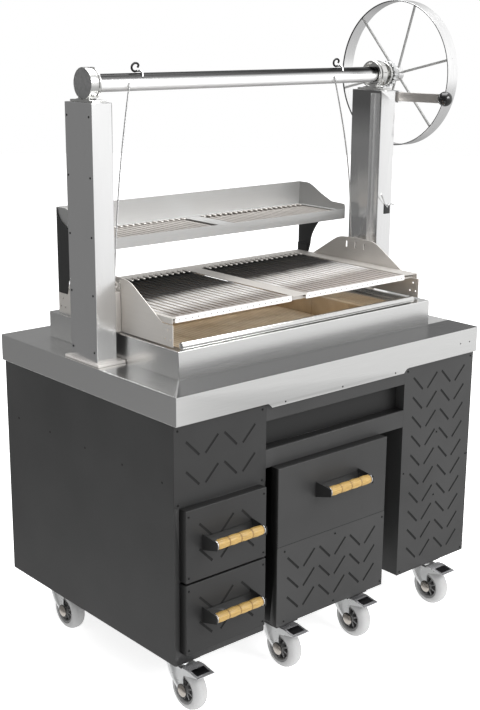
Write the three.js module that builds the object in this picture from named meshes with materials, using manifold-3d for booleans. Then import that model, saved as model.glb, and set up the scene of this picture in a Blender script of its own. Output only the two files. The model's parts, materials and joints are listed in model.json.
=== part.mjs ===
// Charcoal grill on castors: a black steel cabinet with two drawers and a pull-out cart, a stainless
// worktop with a brick-lined firebox, and a grate carriage that a handwheel raises between two posts.
// Millimetres, +Z up, front towards -Y. It is modelled with the floor at z = 0 and the worktop's front
// left corner at x = 0, y = 0, and the last lines move the origin to the middle of its footprint.

import * as THREE from 'three';
import { mergeVertices } from 'three/addons/utils/BufferGeometryUtils.js';
import Module from 'manifold-3d';

const wasm = await Module();
wasm.setup();

// Driving dimensions: the whole grill
const topWidth = 1200;
const topDepth = 856;
const topHeight = 896;
const fasciaHeight = 80;
const castorHeight = 138;
const columnWidth = 320;
const cabinetInset = 12;
const cabinetBackInset = 16;
const cabinetSideInset = 0.5;

// Sheet, gaps and overruns
const sheet = 2;
const plate = 3;
const fitGap = 0.3;
const runningGap = 0.6;
const overrun = 5;
const bite = 0.5;

// Worktop
const topReturn = 20;
const cutoutGap = 5;
const lipMargin = 325;
const lipOffset = 318;
const lipWidth = topWidth - lipOffset - lipMargin;
const lipDrop = 12;
const lipChamfer = 13;

// Firebox
const skirtSideMargin = 100;
const skirtEndMargin = 117;
const skirtHeight = 78;
const skirtFlange = 28;
const tubDepth = 44;
const brickThickness = 22;
const brickHeight = 66;
const emberDeckWidth = 77.7;
const emberDeckDrop = 12;
const emberRibWidth = 12;
const lipBarDiameter = 20;
const lipBarInsets = [20, 66];
const lipBarSetback = 14;

// Decor grooves
const grooveWidth = 7;
const grooveDepth = 1;
const grooveLength = 62;
const groovePitch = 58;
const grooveMargin = 30;

// Drawers and cart
const panDepth = 29;
const drawerPanHeight = 204;
const drawerPanInset = 17;
const drawerPanMargin = 22;
const drawerPanWidth = columnWidth - drawerPanInset - drawerPanMargin;
const lowerDrawerRise = 36;
const drawerGap = 6;
const drawerBoxInset = 12;
const drawerBoxDrop = 40;
const drawerBoxClearance = 200;
const drawerBoxDepth = topDepth - cabinetBackInset - drawerBoxClearance;
const frameLand = 20;
const drawerPlay = 1.2;
const runnerWidth = 24;
const cartGaps = [22, 101];
const cartPanOffset = columnWidth + cartGaps[0];
const cartPanWidth = topWidth - columnWidth - cartGaps[1] - cartPanOffset;
const cartFloorLift = 13;
const cartFloor = castorHeight + cartFloorLift;
const cartHeadroom = 188;
const cartTop = topHeight - fasciaHeight - cartHeadroom;
const cartClearance = 220;
const cartDepth = topDepth - cabinetBackInset - cartClearance;
const cartBoxInset = 6;
const cartDecorHeight = 242;
const cartSplit = cartFloor + cartDecorHeight;
const cartRailDepth = 80;
const cartRailInset = 6;

// Bay between the columns
const apronHeight = 53;
const recessHeight = 81;
const railHeight = 53;
const recessDepth = 34;

// Handles
const gripLength = 168;
const gripDiameter = 28;
const gripReach = 47;
const ferruleLength = 4;
const gripSegments = 4;
const gripWaistShare = 0.91;
const handleArm = 36;
const handleTipShare = 0.6;
const handleLift = 10;
const cartHandleDrop = 89;
const cartHandleHeight = cartTop - cartHandleDrop;
const drawerHandleShare = 0.505;
const cartHandleShare = 0.53;
const handleRiseShare = 0.54;

// Castors
const wheelDiameter = 122;
const wheelWidth = 44;
const coreDiameter = 82;
const coreRecess = 7;
const treadWidth = 24;
const shoulderDrop = 7;
const axleDiameter = 10;
const hubDiameter = 30;
const trail = 37;
const forkSheet = 3;
const forkSideGap = 2;
const forkTopLength = 76;
const castorPlate = 3;
const castorPlateLength = 96;
const castorPlateWidth = 84;
const swivelDiameter = 46;
const swivelHeight = 8;
const boltHead = 16;
const boltHeadHeight = 5;
const axleCap = 36;
const axleCapHeight = 5;
const pedalWidth = 60;
const pedalLength = 66;
const pedalSheet = 2.5;
const pedalDrop = 5;
const pedalHeel = 8;
const pedalRidge = 25;
const pedalRidgeRise = 1.5;
const pedalFlange = 4;
const pedalClearance = 1;
const pedalGap = 0.9;
const cheekDrop = 22;
const cheekNotch = 6;
const forkHeel = 9;
const wheelSides = 14;
const cabinetWheelInsets = [47, 156];
const cabinetWheelX = [cabinetWheelInsets[0], topWidth - cabinetWheelInsets[1]];
const cabinetWheelSetbacks = [7.5, 243];
const cabinetWheelY = [cabinetWheelSetbacks[0], topDepth - cabinetWheelSetbacks[1]];
const cabinetWheelShift = [12, 83];
const cartWheelInsets = [60, 88];
const cartWheelX = [cartPanOffset + cartWheelInsets[0],
  cartPanOffset + cartPanWidth - cartWheelInsets[1]];
const cartWheelSetbacks = [12, 60];
const cartWheelY = [cartWheelSetbacks[0], cartDepth - cartWheelSetbacks[1]];

// Posts
const postWidth = 65;
const postDepth = 127;
const postOffset = 16;
const postSetback = 487;
const postFront = topDepth - postSetback;
const postRise = 706;
const postTop = topHeight + postRise;
const postWall = 3;
const postBaseWidth = 92;
const postBaseDepth = 165;
const postBaseOffset = 6;
const postBaseThickness = 8;
const postCap = 3;
const slotFront = 6;
const slotWidth = 40;
const slotRise = 67;
const slotBottom = topHeight + slotRise;
const slotDrop = 6;
const slotTop = postTop - slotDrop;
const guideDepth = 18;
const guideWall = 2;
const postDrain = 30;

// Lift shaft
const tubeDiameter = 48;
const tubeRise = 51;
const tubeHeight = postTop + tubeRise;
const tubeSetback = 63;
const tubeY = postFront + tubeSetback;
const tubeEndGap = 2.5;
const journalDiameter = 30;
const journalEnd = 4;
const drumDiameter = 85;
const drumLength = 34;
const drumGroove = 6;
const drumGrooveDepth = 3;
const drumRecess = 10;
const drumWall = 6;
const pillowWidth = 46;
const pillowDepth = 104;
const pillowThickness = 6;
const pillowBlockDepth = 50;
const hookBoltInsets = [211, 221];
const hookBoltX = [hookBoltInsets[0], topWidth - hookBoltInsets[1]];
const hookCurlShare = 1.25;
const hookSteps = 8;
const hookWire = 8;
const hookRadius = 15;
const hookStem = 26;
const collarDiameter = 76;
const collarWidth = 8;
const ratchetOffset = 5;
const ratchetX = topWidth + ratchetOffset;
const ratchetWidth = 15;
const ratchetDiameter = 84;
const ratchetToothDepth = 6;
const ratchetTeeth = 18;
const ratchetLeanShare = 0.12;
const hubOffset = 43;
const hubStart = topWidth + hubOffset;
const hubLength = 24;
const handHubDiameter = 46;

// Handwheel
const handwheelDiameter = 460;
const rimOffset = 38;
const rimStart = topWidth + rimOffset;
const rimWidth = 48;
const spokeInset = 20;
const rimStrip = 3;
const spokeCount = 6;
const spokeTurn = -13;
const spokeWire = 8;

// Brake lever
const leverPinInset = 9;
const leverPinX = topWidth - leverPinInset;
const leverPinReach = 5;
const leverPinY = postFront - leverPinReach;
const leverPin = 8;
const leverDrop = 31;
const leverBottom = postTop - leverDrop;
const leverHeight = 28;
const leverThickness = 6;
const leverLength = 176;
const leverTurn = 8;
const leverTail = 66;
const leverBoss = 16;
const knobDiameter = 46;
const shoeGap = 1.5;
const lugThickness = 4;

// Cables
const cableDiameter = 4;
const cableTopInsets = [165, 258];
const cableTopX = [cableTopInsets[0], topWidth - cableTopInsets[1]];
const cableFootRise = 143;

// Carriage
const plateInset = 110.5;
const plateFrontInset = 154;
const plateFront = plateFrontInset;
const plateRearInset = 154;
const plateRear = topDepth - plateRearInset;
const plateRise = 81;
const plateBottom = topHeight + plateRise;
const cableFoot = plateBottom + cableFootRise;
const plateStepHeight = 60;
const plateStep = plateBottom + plateStepHeight;
const plateHeight = 150;
const plateTop = plateBottom + plateHeight;
const plateStepLength = 46;
const plateSlopeStart = plateFront + plateStepLength;
const plateTopLead = 24;
const plateSlopeEnd = postFront - plateTopLead;
const plateTopLag = 142;
const plateTopEnd = postFront + plateTopLag;
const plateHeelLength = 45;
const plateSlopeFoot = plateRear - plateHeelLength;
const plateBulge = 4;
const plateBulgeSteps = 4;
const plateRounding = 26;
const roundingSteps = 4;
const plateHole = 6;
const endHoleShares = [[0.37, 0.75], [0.18, 0.33], [0.57, 0.32]];
const eyeSlotWidth = 6;
const eyeSlotHeight = 20;
const eyeSlotPitch = 40;
const eyeSlotRise = 129;
const eyeSlotZ = plateBottom + eyeSlotRise;
const blockSetback = 16;
const blockFront = postFront + blockSetback;
const blockDepth = 94;
const blockHeight = 113;
const stripThickness = 2.4;
const tongueLength = 12;
const tongueGap = 4;
const eyeWire = 5;
const eyeRadius = 8;
const eyeStem = 12;
const eyeInset = 98;

// Grates
const frameRise = 78;
const frameTop = plateBottom + frameRise;
const frameSetback = 6;
const frameFront = plateFront + frameSetback;
const frameRearInset = 2;
const frameRear = plateRear - frameRearInset;
const grateMargins = [129, 166];
const grateMiddle = 57;
const grateWidth = (topWidth - grateMargins[0] - grateMargins[1] - grateMiddle) / 2;
const leftGrateX = grateMargins[0];
const rightGrateX = leftGrateX + grateWidth + grateMiddle;
const grateSetback = 12;
const grateFront = plateFront + grateSetback;
const grateRearInset = 57;
const grateRear = plateRear - grateRearInset;
const grateFlange = 16;
const channelPitch = 22;
const channelWidth = 16;
const channelDepth = 10;
const channelSheet = 1.5;
const channelFloor = 3;
const bearerWidth = 20;
const bearerThickness = 5;
const grateLand = 12;

// Warming shelf
const shelfDepth = 220;
const shelfFront = plateRear - shelfDepth;
const shelfRear = plateRear;
const shelfRise = 212;
const shelfLipBottom = plateBottom + shelfRise;
const shelfLipHeight = 32;
const shelfLipTop = shelfLipBottom + shelfLipHeight;
const shelfBackHeight = 69;
const shelfBackTop = shelfLipTop + shelfBackHeight;
const shelfLand = 18;
const shelfMiddle = 60;
const shelfGrateDrop = 6;
const shelfSweepShares = [
  [0, 0.1], [0.015, 0.22], [0.29, 0.26], [0.5, 0.55], [0.66, 0.83], [0.76, 0.97], [0.82, 1], [1, 1],
];
const armFootDepth = 44;
const armHeadDepth = 120;
const armNeckDepth = 58;
const armFootLap = 44;
const armStraightShare = 0.3;
const armNeckSteps = 6;
const armCrownSteps = 5;

// Opener hook
const hookPlateInset = 51;
const hookPlateX = topWidth - hookPlateInset;
const hookPlateWidth = 27;
const hookPlateDrop = 391;
const hookPlateBottom = postTop - hookPlateDrop;
const hookPlateHeight = 29;
const hookPlateThickness = 2.5;
const openerWire = 4;
const openerLeftReach = 43;
const openerRightReach = 54;
const openerRise = 40;
const openerStand = 10;

// Worked out from the driving dimensions
const cabinetTop = topHeight - fasciaHeight - fitGap;
const cabinetBack = topDepth - cabinetBackInset;
const columnInner = columnWidth;
const rightColumnStart = topWidth - columnWidth;
const rightColumnEnd = topWidth - cabinetSideInset;
const panelFront = cabinetInset;
const columnFront = cabinetInset + sheet + fitGap;
const skirtX = [skirtSideMargin, topWidth - skirtSideMargin];
const skirtY = [skirtEndMargin, topDepth - skirtEndMargin];
const skirtBottom = topHeight + fitGap;
const skirtTop = topHeight + skirtHeight;
const tubX = [skirtX[0] + skirtFlange + sheet, skirtX[1] - skirtFlange - sheet];
const tubY = [skirtY[0] + skirtFlange + sheet, skirtY[1] - skirtFlange - sheet];
const tubBottom = topHeight - tubDepth;
const panFront = cabinetInset - panDepth;
const panBack = cabinetInset - fitGap;

// Materials
const finish = (color, roughness, metalness) =>
  new THREE.MeshStandardMaterial({ color, roughness, metalness });
const stainless = finish(0xc4c4c2, 0.32, 0.95);
const blackCoat = finish(0x434343, 0.55, 0.2);
const brick = finish(0x9a8768, 0.9, 0);
const darkPlate = finish(0x4a4a4a, 0.5, 0.6);
const blackSteel = finish(0x2c2c2c, 0.5, 0.3);
const bamboo = finish(0xc2a04f, 0.6, 0);
const tyreWhite = finish(0xcfcfcf, 0.6, 0);
const zinc = finish(0xb4b4b4, 0.35, 0.9);
const chrome = finish(0xd8d8d8, 0.12, 1);
const knobBlack = finish(0x151515, 0.15, 0);
const cableSteel = finish(0x8c8c8c, 0.4, 0.9);

// Solids
function solid(geometry) {
  const bare = geometry.clone();
  bare.deleteAttribute('normal');
  bare.deleteAttribute('uv');
  const merged = mergeVertices(bare);
  const mesh = new wasm.Mesh({
    numProp: 3,
    vertProperties: new Float32Array(merged.attributes.position.array),
    triVerts: new Uint32Array(merged.index.array),
  });
  return new wasm.Manifold(mesh);
}

const join = (...solids) => solids.reduce((a, b) => a.add(b));
const cut = (body, ...tools) => tools.reduce((a, b) => a.subtract(b), body);

function block([x0, x1], [y0, y1], [z0, z1]) {
  const geometry = new THREE.BoxGeometry(x1 - x0, y1 - y0, z1 - z0);
  geometry.translate((x0 + x1) / 2, (y0 + y1) / 2, (z0 + z1) / 2);
  return solid(geometry);
}

function outline(points) {
  return new THREE.Shape(points.map(([u, v]) => new THREE.Vector2(u, v)));
}

// An outline in y and z, carried from x0 to x1
function alongX(points, x0, x1) {
  const geometry = new THREE.ExtrudeGeometry(outline(points), { depth: x1 - x0, bevelEnabled: false });
  geometry.applyMatrix4(new THREE.Matrix4().makeBasis(
    new THREE.Vector3(0, 1, 0), new THREE.Vector3(0, 0, 1), new THREE.Vector3(1, 0, 0)));
  geometry.translate(x0, 0, 0);
  return solid(geometry);
}

// An outline in x and z, carried from y1 down to y0
function alongY(points, y0, y1) {
  const geometry = new THREE.ExtrudeGeometry(outline(points), { depth: y1 - y0, bevelEnabled: false });
  geometry.rotateX(Math.PI / 2);
  geometry.translate(0, y1, 0);
  return solid(geometry);
}

// A profile of [radius, place] pairs turned about the x axis
function turnedX(profile, sides) {
  const points = profile.map(([radius, place]) => new THREE.Vector2(radius, place));
  const geometry = new THREE.LatheGeometry(points, sides);
  geometry.rotateZ(-Math.PI / 2);
  return solid(geometry);
}

function discX(radius, x0, x1, y, z, sides) {
  return turnedX([[0, x0], [radius, x0], [radius, x1], [0, x1]], sides).translate([0, y, z]);
}

function rod(radius, from, to, sides) {
  const start = new THREE.Vector3(...from);
  const end = new THREE.Vector3(...to);
  const geometry = new THREE.CylinderGeometry(radius, radius, start.distanceTo(end), sides);
  const turn = new THREE.Quaternion().setFromUnitVectors(
    new THREE.Vector3(0, 1, 0), end.clone().sub(start).normalize());
  geometry.applyQuaternion(turn);
  const middle = start.add(end).multiplyScalar(1 / 2);
  geometry.translate(middle.x, middle.y, middle.z);
  return solid(geometry);
}

// A round wire through the given points
function wire(radius, points, sides, steps) {
  const ring = Array.from({ length: sides }, (_, i) => {
    const angle = (i / sides) * 2 * Math.PI;
    return [radius * Math.cos(angle), radius * Math.sin(angle)];
  });
  const path = new THREE.CatmullRomCurve3(points.map((p) => new THREE.Vector3(...p)), false, 'centripetal');
  return solid(new THREE.ExtrudeGeometry(outline(ring), { extrudePath: path, steps }));
}

function mirroredX(body) {
  return body.mirror([1, 0, 0]).translate([topWidth, 0, 0]);
}

const grill = new THREE.Group();

function add(name, body, material) {
  const { vertProperties, triVerts } = body.getMesh();
  const geometry = new THREE.BufferGeometry();
  geometry.setAttribute('position', new THREE.BufferAttribute(new Float32Array(vertProperties), 3));
  geometry.setIndex(new THREE.BufferAttribute(new Uint32Array(triVerts), 1));
  const flat = geometry.toNonIndexed();
  flat.computeVertexNormals();
  const mesh = new THREE.Mesh(flat, material);
  mesh.name = name;
  grill.add(mesh);
}

// An open-topped or open-sided box: the outer block less the inner one
function shell(outer, inner) {
  return cut(block(...outer), block(...inner));
}

// Worktop
function worktop() {
  const shellBody = shell(
    [[0, topWidth], [0, topDepth], [topHeight - fasciaHeight, topHeight]],
    [[sheet, topWidth - sheet], [sheet, topDepth - sheet],
      [topHeight - fasciaHeight + sheet, topHeight - sheet]],
  );
  const underside = block([topReturn, topWidth - topReturn], [topReturn, topDepth - topReturn],
    [topHeight - fasciaHeight - overrun, topHeight - fasciaHeight + sheet + overrun]);
  const cutout = block([tubX[0] - cutoutGap, tubX[1] + cutoutGap],
    [tubY[0] - cutoutGap, tubY[1] + cutoutGap],
    [topHeight - sheet - overrun, topHeight + overrun]);
  const lipTop = topHeight - fasciaHeight + bite;
  const lip = alongY([
    [lipOffset, lipTop], [lipOffset + lipWidth, lipTop],
    [lipOffset + lipWidth - lipChamfer, lipTop - bite - lipDrop],
    [lipOffset + lipChamfer, lipTop - bite - lipDrop],
  ], 0, sheet);
  return join(cut(shellBody, underside, cutout), lip);
}

// Columns: boxes of sheet, open at the front
function columnShell(x0, x1) {
  return shell(
    [[x0, x1], [columnFront, cabinetBack], [castorHeight, cabinetTop]],
    [[x0 + sheet, x1 - sheet], [columnFront - overrun, cabinetBack - sheet],
      [castorHeight + sheet, cabinetTop - sheet]],
  );
}

const drawerBottoms = [castorHeight + lowerDrawerRise,
  castorHeight + lowerDrawerRise + drawerPanHeight + drawerGap];
const drawerX = [drawerPanInset + drawerBoxInset, drawerPanInset + drawerPanWidth - drawerBoxInset];
const decorBottom = drawerBottoms[1] + drawerPanHeight + drawerGap / 2;

function castorPad(x, y, front) {
  return block([x - castorPlateWidth / 2, x + castorPlateWidth / 2],
    [Math.max(y - castorPlateLength / 2, front), y + castorPlateLength / 2],
    [castorHeight - castorPlate, castorHeight + bite]);
}

function leftColumn() {
  let body = columnShell(cabinetSideInset, columnInner);
  const frontSheet = block([cabinetSideInset, columnInner], [cabinetInset, columnFront + bite],
    [castorHeight, decorBottom - fitGap]);
  const openings = drawerBottoms.map((z) => block(
    [drawerX[0] - drawerPlay, drawerX[1] + drawerPlay], [0, columnFront + overrun],
    [z + frameLand / 2, z + drawerPanHeight - frameLand / 2]));
  body = join(body, cut(frontSheet, ...openings));
  for (const z of drawerBottoms) {
    const runnerTop = z + drawerBoxInset - fitGap;
    for (const [x0, x1] of [[cabinetSideInset + bite, drawerX[0] + runnerWidth / 2],
      [drawerX[1] - runnerWidth / 2, columnInner - bite]]) {
      body = join(body, block([x0, x1], [columnFront + bite, drawerBoxDepth],
        [runnerTop - sheet, runnerTop]));
    }
  }
  return join(body, ...cabinetSwivels.slice(0, 2).map(([x, y]) => castorPad(x, y, columnFront)));
}

function rightColumn() {
  const body = columnShell(rightColumnStart, rightColumnEnd);
  return join(body, ...cabinetSwivels.slice(2).map(([x, y]) => castorPad(x, y, columnFront)));
}

// Slanted grooves in a herringbone, each a thin block set across the face
function herringbone([x0, x1], [z0, z1], face) {
  const columns = Math.floor((x1 - x0 - grooveMargin * 2) / groovePitch);
  const rows = Math.floor((z1 - z0 - grooveMargin * 2) / groovePitch);
  const across = (x1 - x0 - grooveMargin * 2) / columns;
  const up = (z1 - z0 - grooveMargin * 2) / rows;
  const grooves = [];
  for (let column = 0; column < columns; column += 1) {
    for (let row = 0; row < rows; row += 1) {
      const lean = column % 2 === 0 ? 45 : -45;
      const groove = block([-grooveLength / 2, grooveLength / 2], [-overrun, grooveDepth],
        [-grooveWidth / 2, grooveWidth / 2]);
      grooves.push(groove.rotate([0, lean, 0]).translate([
        x0 + grooveMargin + (column + 1 / 2) * across, face, z0 + grooveMargin + (row + 1 / 2) * up]));
    }
  }
  return grooves;
}

function decorPanel([x0, x1], [z0, z1], face, thickness) {
  return cut(block([x0, x1], [face, face + thickness], [z0, z1]), ...herringbone([x0, x1], [z0, z1], face));
}

// Bay between the columns
function bayFrame() {
  const x = [columnInner + fitGap, rightColumnStart - fitGap];
  const recessBack = cabinetInset + recessDepth;
  const apronBottom = cabinetTop - apronHeight;
  const ledge = apronBottom - recessHeight;
  const railBottom = ledge - railHeight;
  return join(
    block(x, [cabinetInset, cabinetInset + sheet], [apronBottom, cabinetTop]),
    block(x, [cabinetInset, recessBack + sheet], [apronBottom, apronBottom + sheet]),
    block(x, [recessBack, recessBack + sheet], [ledge - sheet, apronBottom + sheet]),
    block(x, [cabinetInset, cabinetBack], [ledge - sheet, ledge]),
    block(x, [cabinetInset, cabinetInset + sheet], [railBottom, ledge]),
    block(x, [cabinetBack - sheet, cabinetBack], [castorHeight, cabinetTop]),
  );
}

// Firebox: skirt with an inward flange, the tub below it and the ember deck beside the bricks
const dividerEnd = tubX[1] - emberDeckWidth;
const emberDeckTop = skirtTop - emberDeckDrop;

function firebox() {
  const skirt = shell([skirtX, skirtY, [skirtBottom, skirtTop]],
    [[skirtX[0] + sheet, skirtX[1] - sheet], [skirtY[0] + sheet, skirtY[1] - sheet],
      [skirtBottom - overrun, skirtTop - sheet]]);
  const mouth = block(tubX, tubY, [tubBottom + sheet, skirtTop + overrun]);
  const tub = block([tubX[0] - sheet, tubX[1] + sheet], [tubY[0] - sheet, tubY[1] + sheet],
    [tubBottom, skirtTop - sheet / 2]);
  const deckStart = dividerEnd + fitGap;
  const deckY = [tubY[0] - bite, tubY[1] + bite];
  const deck = [
    block([deckStart, tubX[1] + bite], deckY, [emberDeckTop - sheet, emberDeckTop]),
    block([deckStart, deckStart + sheet], deckY, [tubBottom + bite, skirtTop]),
    block([deckStart, deckStart + emberRibWidth], deckY, [skirtTop - sheet, skirtTop]),
  ];
  const drainStart = (deckStart + tubX[1]) / 2;
  const deckDrain = block([drainStart, drainStart + emberRibWidth],
    [tubY[1] - skirtFlange, tubY[1] - sheet], [emberDeckTop - overrun, emberDeckTop + overrun]);
  return cut(join(cut(join(skirt, tub), mouth), ...deck), deckDrain);
}

function fireboxLipBar() {
  const y = skirtY[0] + lipBarSetback;
  return discX(lipBarDiameter / 2, skirtX[0] + lipBarInsets[0], skirtX[1] - lipBarInsets[1], y,
    skirtTop + fitGap + lipBarDiameter / 2, 12);
}

function brickBed() {
  const x = [tubX[0] + fitGap, dividerEnd];
  const y = [tubY[0] + fitGap, tubY[1] - fitGap];
  const floorTop = tubBottom + sheet + fitGap + brickThickness;
  const z = [floorTop - brickThickness, floorTop + brickHeight];
  const full = block(x, y, z);
  const well = block([x[0] + brickThickness, x[1] - brickThickness],
    [y[0] + brickThickness, y[1] - brickThickness],
    [floorTop, z[1] + overrun]);
  return cut(full, well);
}

// Posts with base and cap plates and a guide slot in the inner face
const postX = [postOffset, postOffset + postWidth];
const postY = [postFront, postFront + postDepth];
const postBottom = topHeight + fitGap;

function post() {
  const tube = shell([postX, postY, [postBottom, postTop]],
    [[postX[0] + postWall, postX[1] - postWall], [postY[0] + postWall, postY[1] - postWall],
      [postBottom + postBaseThickness, postTop - postWall]]);
  const middle = (postY[0] + postY[1]) / 2;
  const base = block([postBaseOffset, postBaseOffset + postBaseWidth],
    [middle - postBaseDepth / 2, middle + postBaseDepth / 2], [postBottom, postBottom + postBaseThickness]);
  const cap = block(postX, postY, [postTop - bite, postTop + postCap]);
  const slotY = [postY[0] + slotFront, postY[0] + slotFront + slotWidth];
  const guide = block([postX[1] - guideDepth, postX[1] - bite], [slotY[0] - guideWall, slotY[1] + guideWall],
    [slotBottom - guideWall, slotTop + guideWall]);
  const slot = block([postX[1] - guideDepth + guideWall, postX[1] + overrun], slotY, [slotBottom, slotTop]);
  const drain = rod(postDrain / 2, [(postX[0] + postX[1]) / 2, middle, postBottom - overrun],
    [(postX[0] + postX[1]) / 2, middle, postBottom + postBaseThickness + overrun], 12);
  return cut(join(tube, base, cap, guide), slot, drain);
}

// Bearings: a drum on a pillow foot with four bolts, bored for the journal
const drumCentre = postX[0] + postWidth / 2;
const pillowBottom = postTop + postCap + fitGap;

function bearing(bored) {
  const radius = drumDiameter / 2;
  const x0 = drumCentre - drumLength / 2;
  const x1 = drumCentre + drumLength / 2;
  const grooveStart = x1 - drumGroove * 2;
  const profile = [[0, x0], [radius, x0], [radius, grooveStart], [radius - drumGrooveDepth, grooveStart],
    [radius - drumGrooveDepth, grooveStart + drumGroove], [radius, grooveStart + drumGroove],
      [radius, x1], [0, x1]];
  let body = turnedX(profile, 18).translate([0, tubeY, tubeHeight]);
  const foot = block([drumCentre - pillowWidth / 2, drumCentre + pillowWidth / 2],
    [tubeY - pillowDepth / 2, tubeY + pillowDepth / 2], [pillowBottom, pillowBottom + pillowThickness]);
  const saddle = block([x0 + sheet, x1 - sheet], [tubeY - pillowBlockDepth / 2,
    tubeY + pillowBlockDepth / 2],
    [pillowBottom + bite, tubeHeight - radius / 2]);
  body = join(body, foot, saddle);
  for (const side of [-1, 1]) {
    const y = tubeY + side * (pillowDepth / 2 - boltHead);
    const z = pillowBottom + pillowThickness;
    body = join(body, rod(boltHead / 2, [drumCentre, y, z - bite], [drumCentre, y, z + boltHeadHeight], 6));
  }
  const boreStart = bored ? x0 - overrun : x0 + drumWall;
  const bore = discX(journalDiameter / 2 + runningGap, boreStart, x1 + overrun, tubeY, tubeHeight, 14);
  const recess = discX(radius - drumWall, x1 - drumRecess, x1 + overrun, tubeY, tubeHeight, 18);
  return cut(body, bore, recess);
}

// Lift shaft: the tube, its journals, hook bolts and collar
const drumStart = drumCentre - drumLength / 2;
const hubEnd = hubStart + hubLength;
const tubeStart = drumStart + drumLength - drumRecess + tubeEndGap;

function liftTube() {
  const tubeRadius = tubeDiameter / 2;
  const journalRadius = journalDiameter / 2;
  const parts = [
    discX(tubeRadius, tubeStart, topWidth - tubeStart, tubeY, tubeHeight, 20),
    discX(journalRadius, drumStart + drumWall + runningGap, hubEnd + journalEnd, tubeY, tubeHeight, 14),
    discX(collarDiameter / 2, ratchetX - collarWidth * 2, ratchetX - collarWidth, tubeY, tubeHeight, 20),
  ];
  for (const x of hookBoltX) {
    const base = tubeHeight + tubeRadius;
    const arc = [];
    for (let step = 0; step <= hookSteps; step += 1) {
      const angle = Math.PI * (1 - (step / hookSteps) * hookCurlShare);
      arc.push([x + hookRadius + hookRadius * Math.cos(angle), tubeY,
        base + hookStem + hookRadius * Math.sin(angle)]);
    }
    parts.push(wire(hookWire / 2, [[x, tubeY, base - hookWire], ...arc], 6, 9));
    parts.push(rod(hookWire, [x, tubeY, base - hookWire], [x, tubeY, base + hookWire / 2], 6));
  }
  return join(...parts);
}

function ratchetWheel() {
  const root = ratchetDiameter / 2 - ratchetToothDepth;
  const points = [];
  for (let tooth = 0; tooth < ratchetTeeth; tooth += 1) {
    const angle = (tooth / ratchetTeeth) * 2 * Math.PI;
    const next = ((tooth + ratchetLeanShare) / ratchetTeeth) * 2 * Math.PI;
    points.push([tubeY + root * Math.cos(angle), tubeHeight + root * Math.sin(angle)]);
    points.push([tubeY + (ratchetDiameter / 2) * Math.cos(next),
      tubeHeight + (ratchetDiameter / 2) * Math.sin(next)]);
  }
  const bore = discX(journalDiameter / 2 + fitGap, ratchetX - overrun, ratchetX + ratchetWidth + overrun,
    tubeY, tubeHeight, 16);
  return cut(alongX(points, ratchetX, ratchetX + ratchetWidth), bore);
}

function handwheel() {
  const outer = handwheelDiameter / 2;
  const centre = rimStart + spokeInset;
  const rim = turnedX([[outer - rimStrip, rimStart], [outer, rimStart], [outer, rimStart + rimWidth],
    [outer - rimStrip, rimStart + rimWidth], [outer - rimStrip, rimStart]],
      40).translate([0, tubeY, tubeHeight]);
  const parts = [rim, discX(handHubDiameter / 2, hubStart, hubEnd, tubeY, tubeHeight, 16)];
  for (let i = 0; i < spokeCount; i += 1) {
    const angle = THREE.MathUtils.degToRad(spokeTurn + (360 / spokeCount) * i);
    const reach = outer - rimStrip / 2;
    parts.push(rod(spokeWire / 2, [centre, tubeY, tubeHeight],
      [centre, tubeY + reach * Math.cos(angle), tubeHeight + reach * Math.sin(angle)], 6));
  }
  const bore = discX(journalDiameter / 2 + fitGap, hubStart - overrun, hubEnd + overrun, tubeY,
    tubeHeight, 14);
  return cut(join(...parts), bore);
}

// Brake lever: a flat bar on a standing pin, with a shoe under the ratchet
function brakeLever() {
  const bottom = leverBottom;
  const top = leverBottom + leverHeight;
  const barEnd = -leverLength + knobDiameter / 2 + fitGap;
  const bar = block([-leverThickness / 2, leverThickness / 2], [barEnd, 0], [bottom, top]);
  const boss = rod(leverBoss / 2, [0, 0, bottom], [0, 0, top], 16);
  const turned = join(bar, boss).rotate([0, 0, leverTurn]);
  const tailTop = tubeHeight - ratchetDiameter / 2 - shoeGap;
  const tail = block([ratchetX - leverPinX, ratchetX - leverPinX + leverThickness],
    [-leverThickness, leverTail],
    [bottom, top]);
  const bridge = block([0, ratchetX - leverPinX + leverThickness], [-leverThickness, 0], [bottom, top]);
  const shoe = block([ratchetX - leverPinX, ratchetX - leverPinX + leverThickness],
    [leverTail - leverBoss, leverTail], [bottom, tailTop]);
  const hole = rod(leverPin / 2 + runningGap, [0, 0, bottom - overrun], [0, 0, top + overrun], 16);
  return cut(join(turned, tail, bridge, shoe), hole).translate([leverPinX, leverPinY, 0]);
}

// The lug and pin that carry the lever are part of the right post
function leverLug() {
  const lugs = [leverBottom - fitGap - lugThickness, leverBottom + leverHeight + fitGap].map((z) => block(
    [topWidth - postX[0] - bite, leverPinX + leverBoss / 2], [leverPinY - leverBoss / 2,
      postY[0] + leverBoss],
    [z, z + lugThickness]));
  const pin = rod(leverPin / 2, [leverPinX, leverPinY, leverBottom - lugThickness],
    [leverPinX, leverPinY, leverBottom + leverHeight + lugThickness], 16);
  return join(...lugs, pin);
}

function leverKnob() {
  const turn = THREE.MathUtils.degToRad(leverTurn);
  const geometry = new THREE.SphereGeometry(knobDiameter / 2, 14, 8);
  return solid(geometry).translate([leverPinX + Math.sin(turn) * leverLength,
    leverPinY - Math.cos(turn) * leverLength, leverBottom + leverHeight / 2]);
}

// Cables from the front of the tube to the eyes on the slide blocks. The blocks are one part, turned
// round for the right side, so the left eye stands at the front and the right one at the rear
const eyeY = [blockFront + eyeStem, blockFront + blockDepth - eyeStem];
function cable(footX, topX, footY) {
  const y = tubeY - tubeDiameter / 2 - cableDiameter / 2 - fitGap;
  return rod(cableDiameter / 2, [footX, footY, cableFoot], [topX, y, tubeHeight], 8);
}

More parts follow.
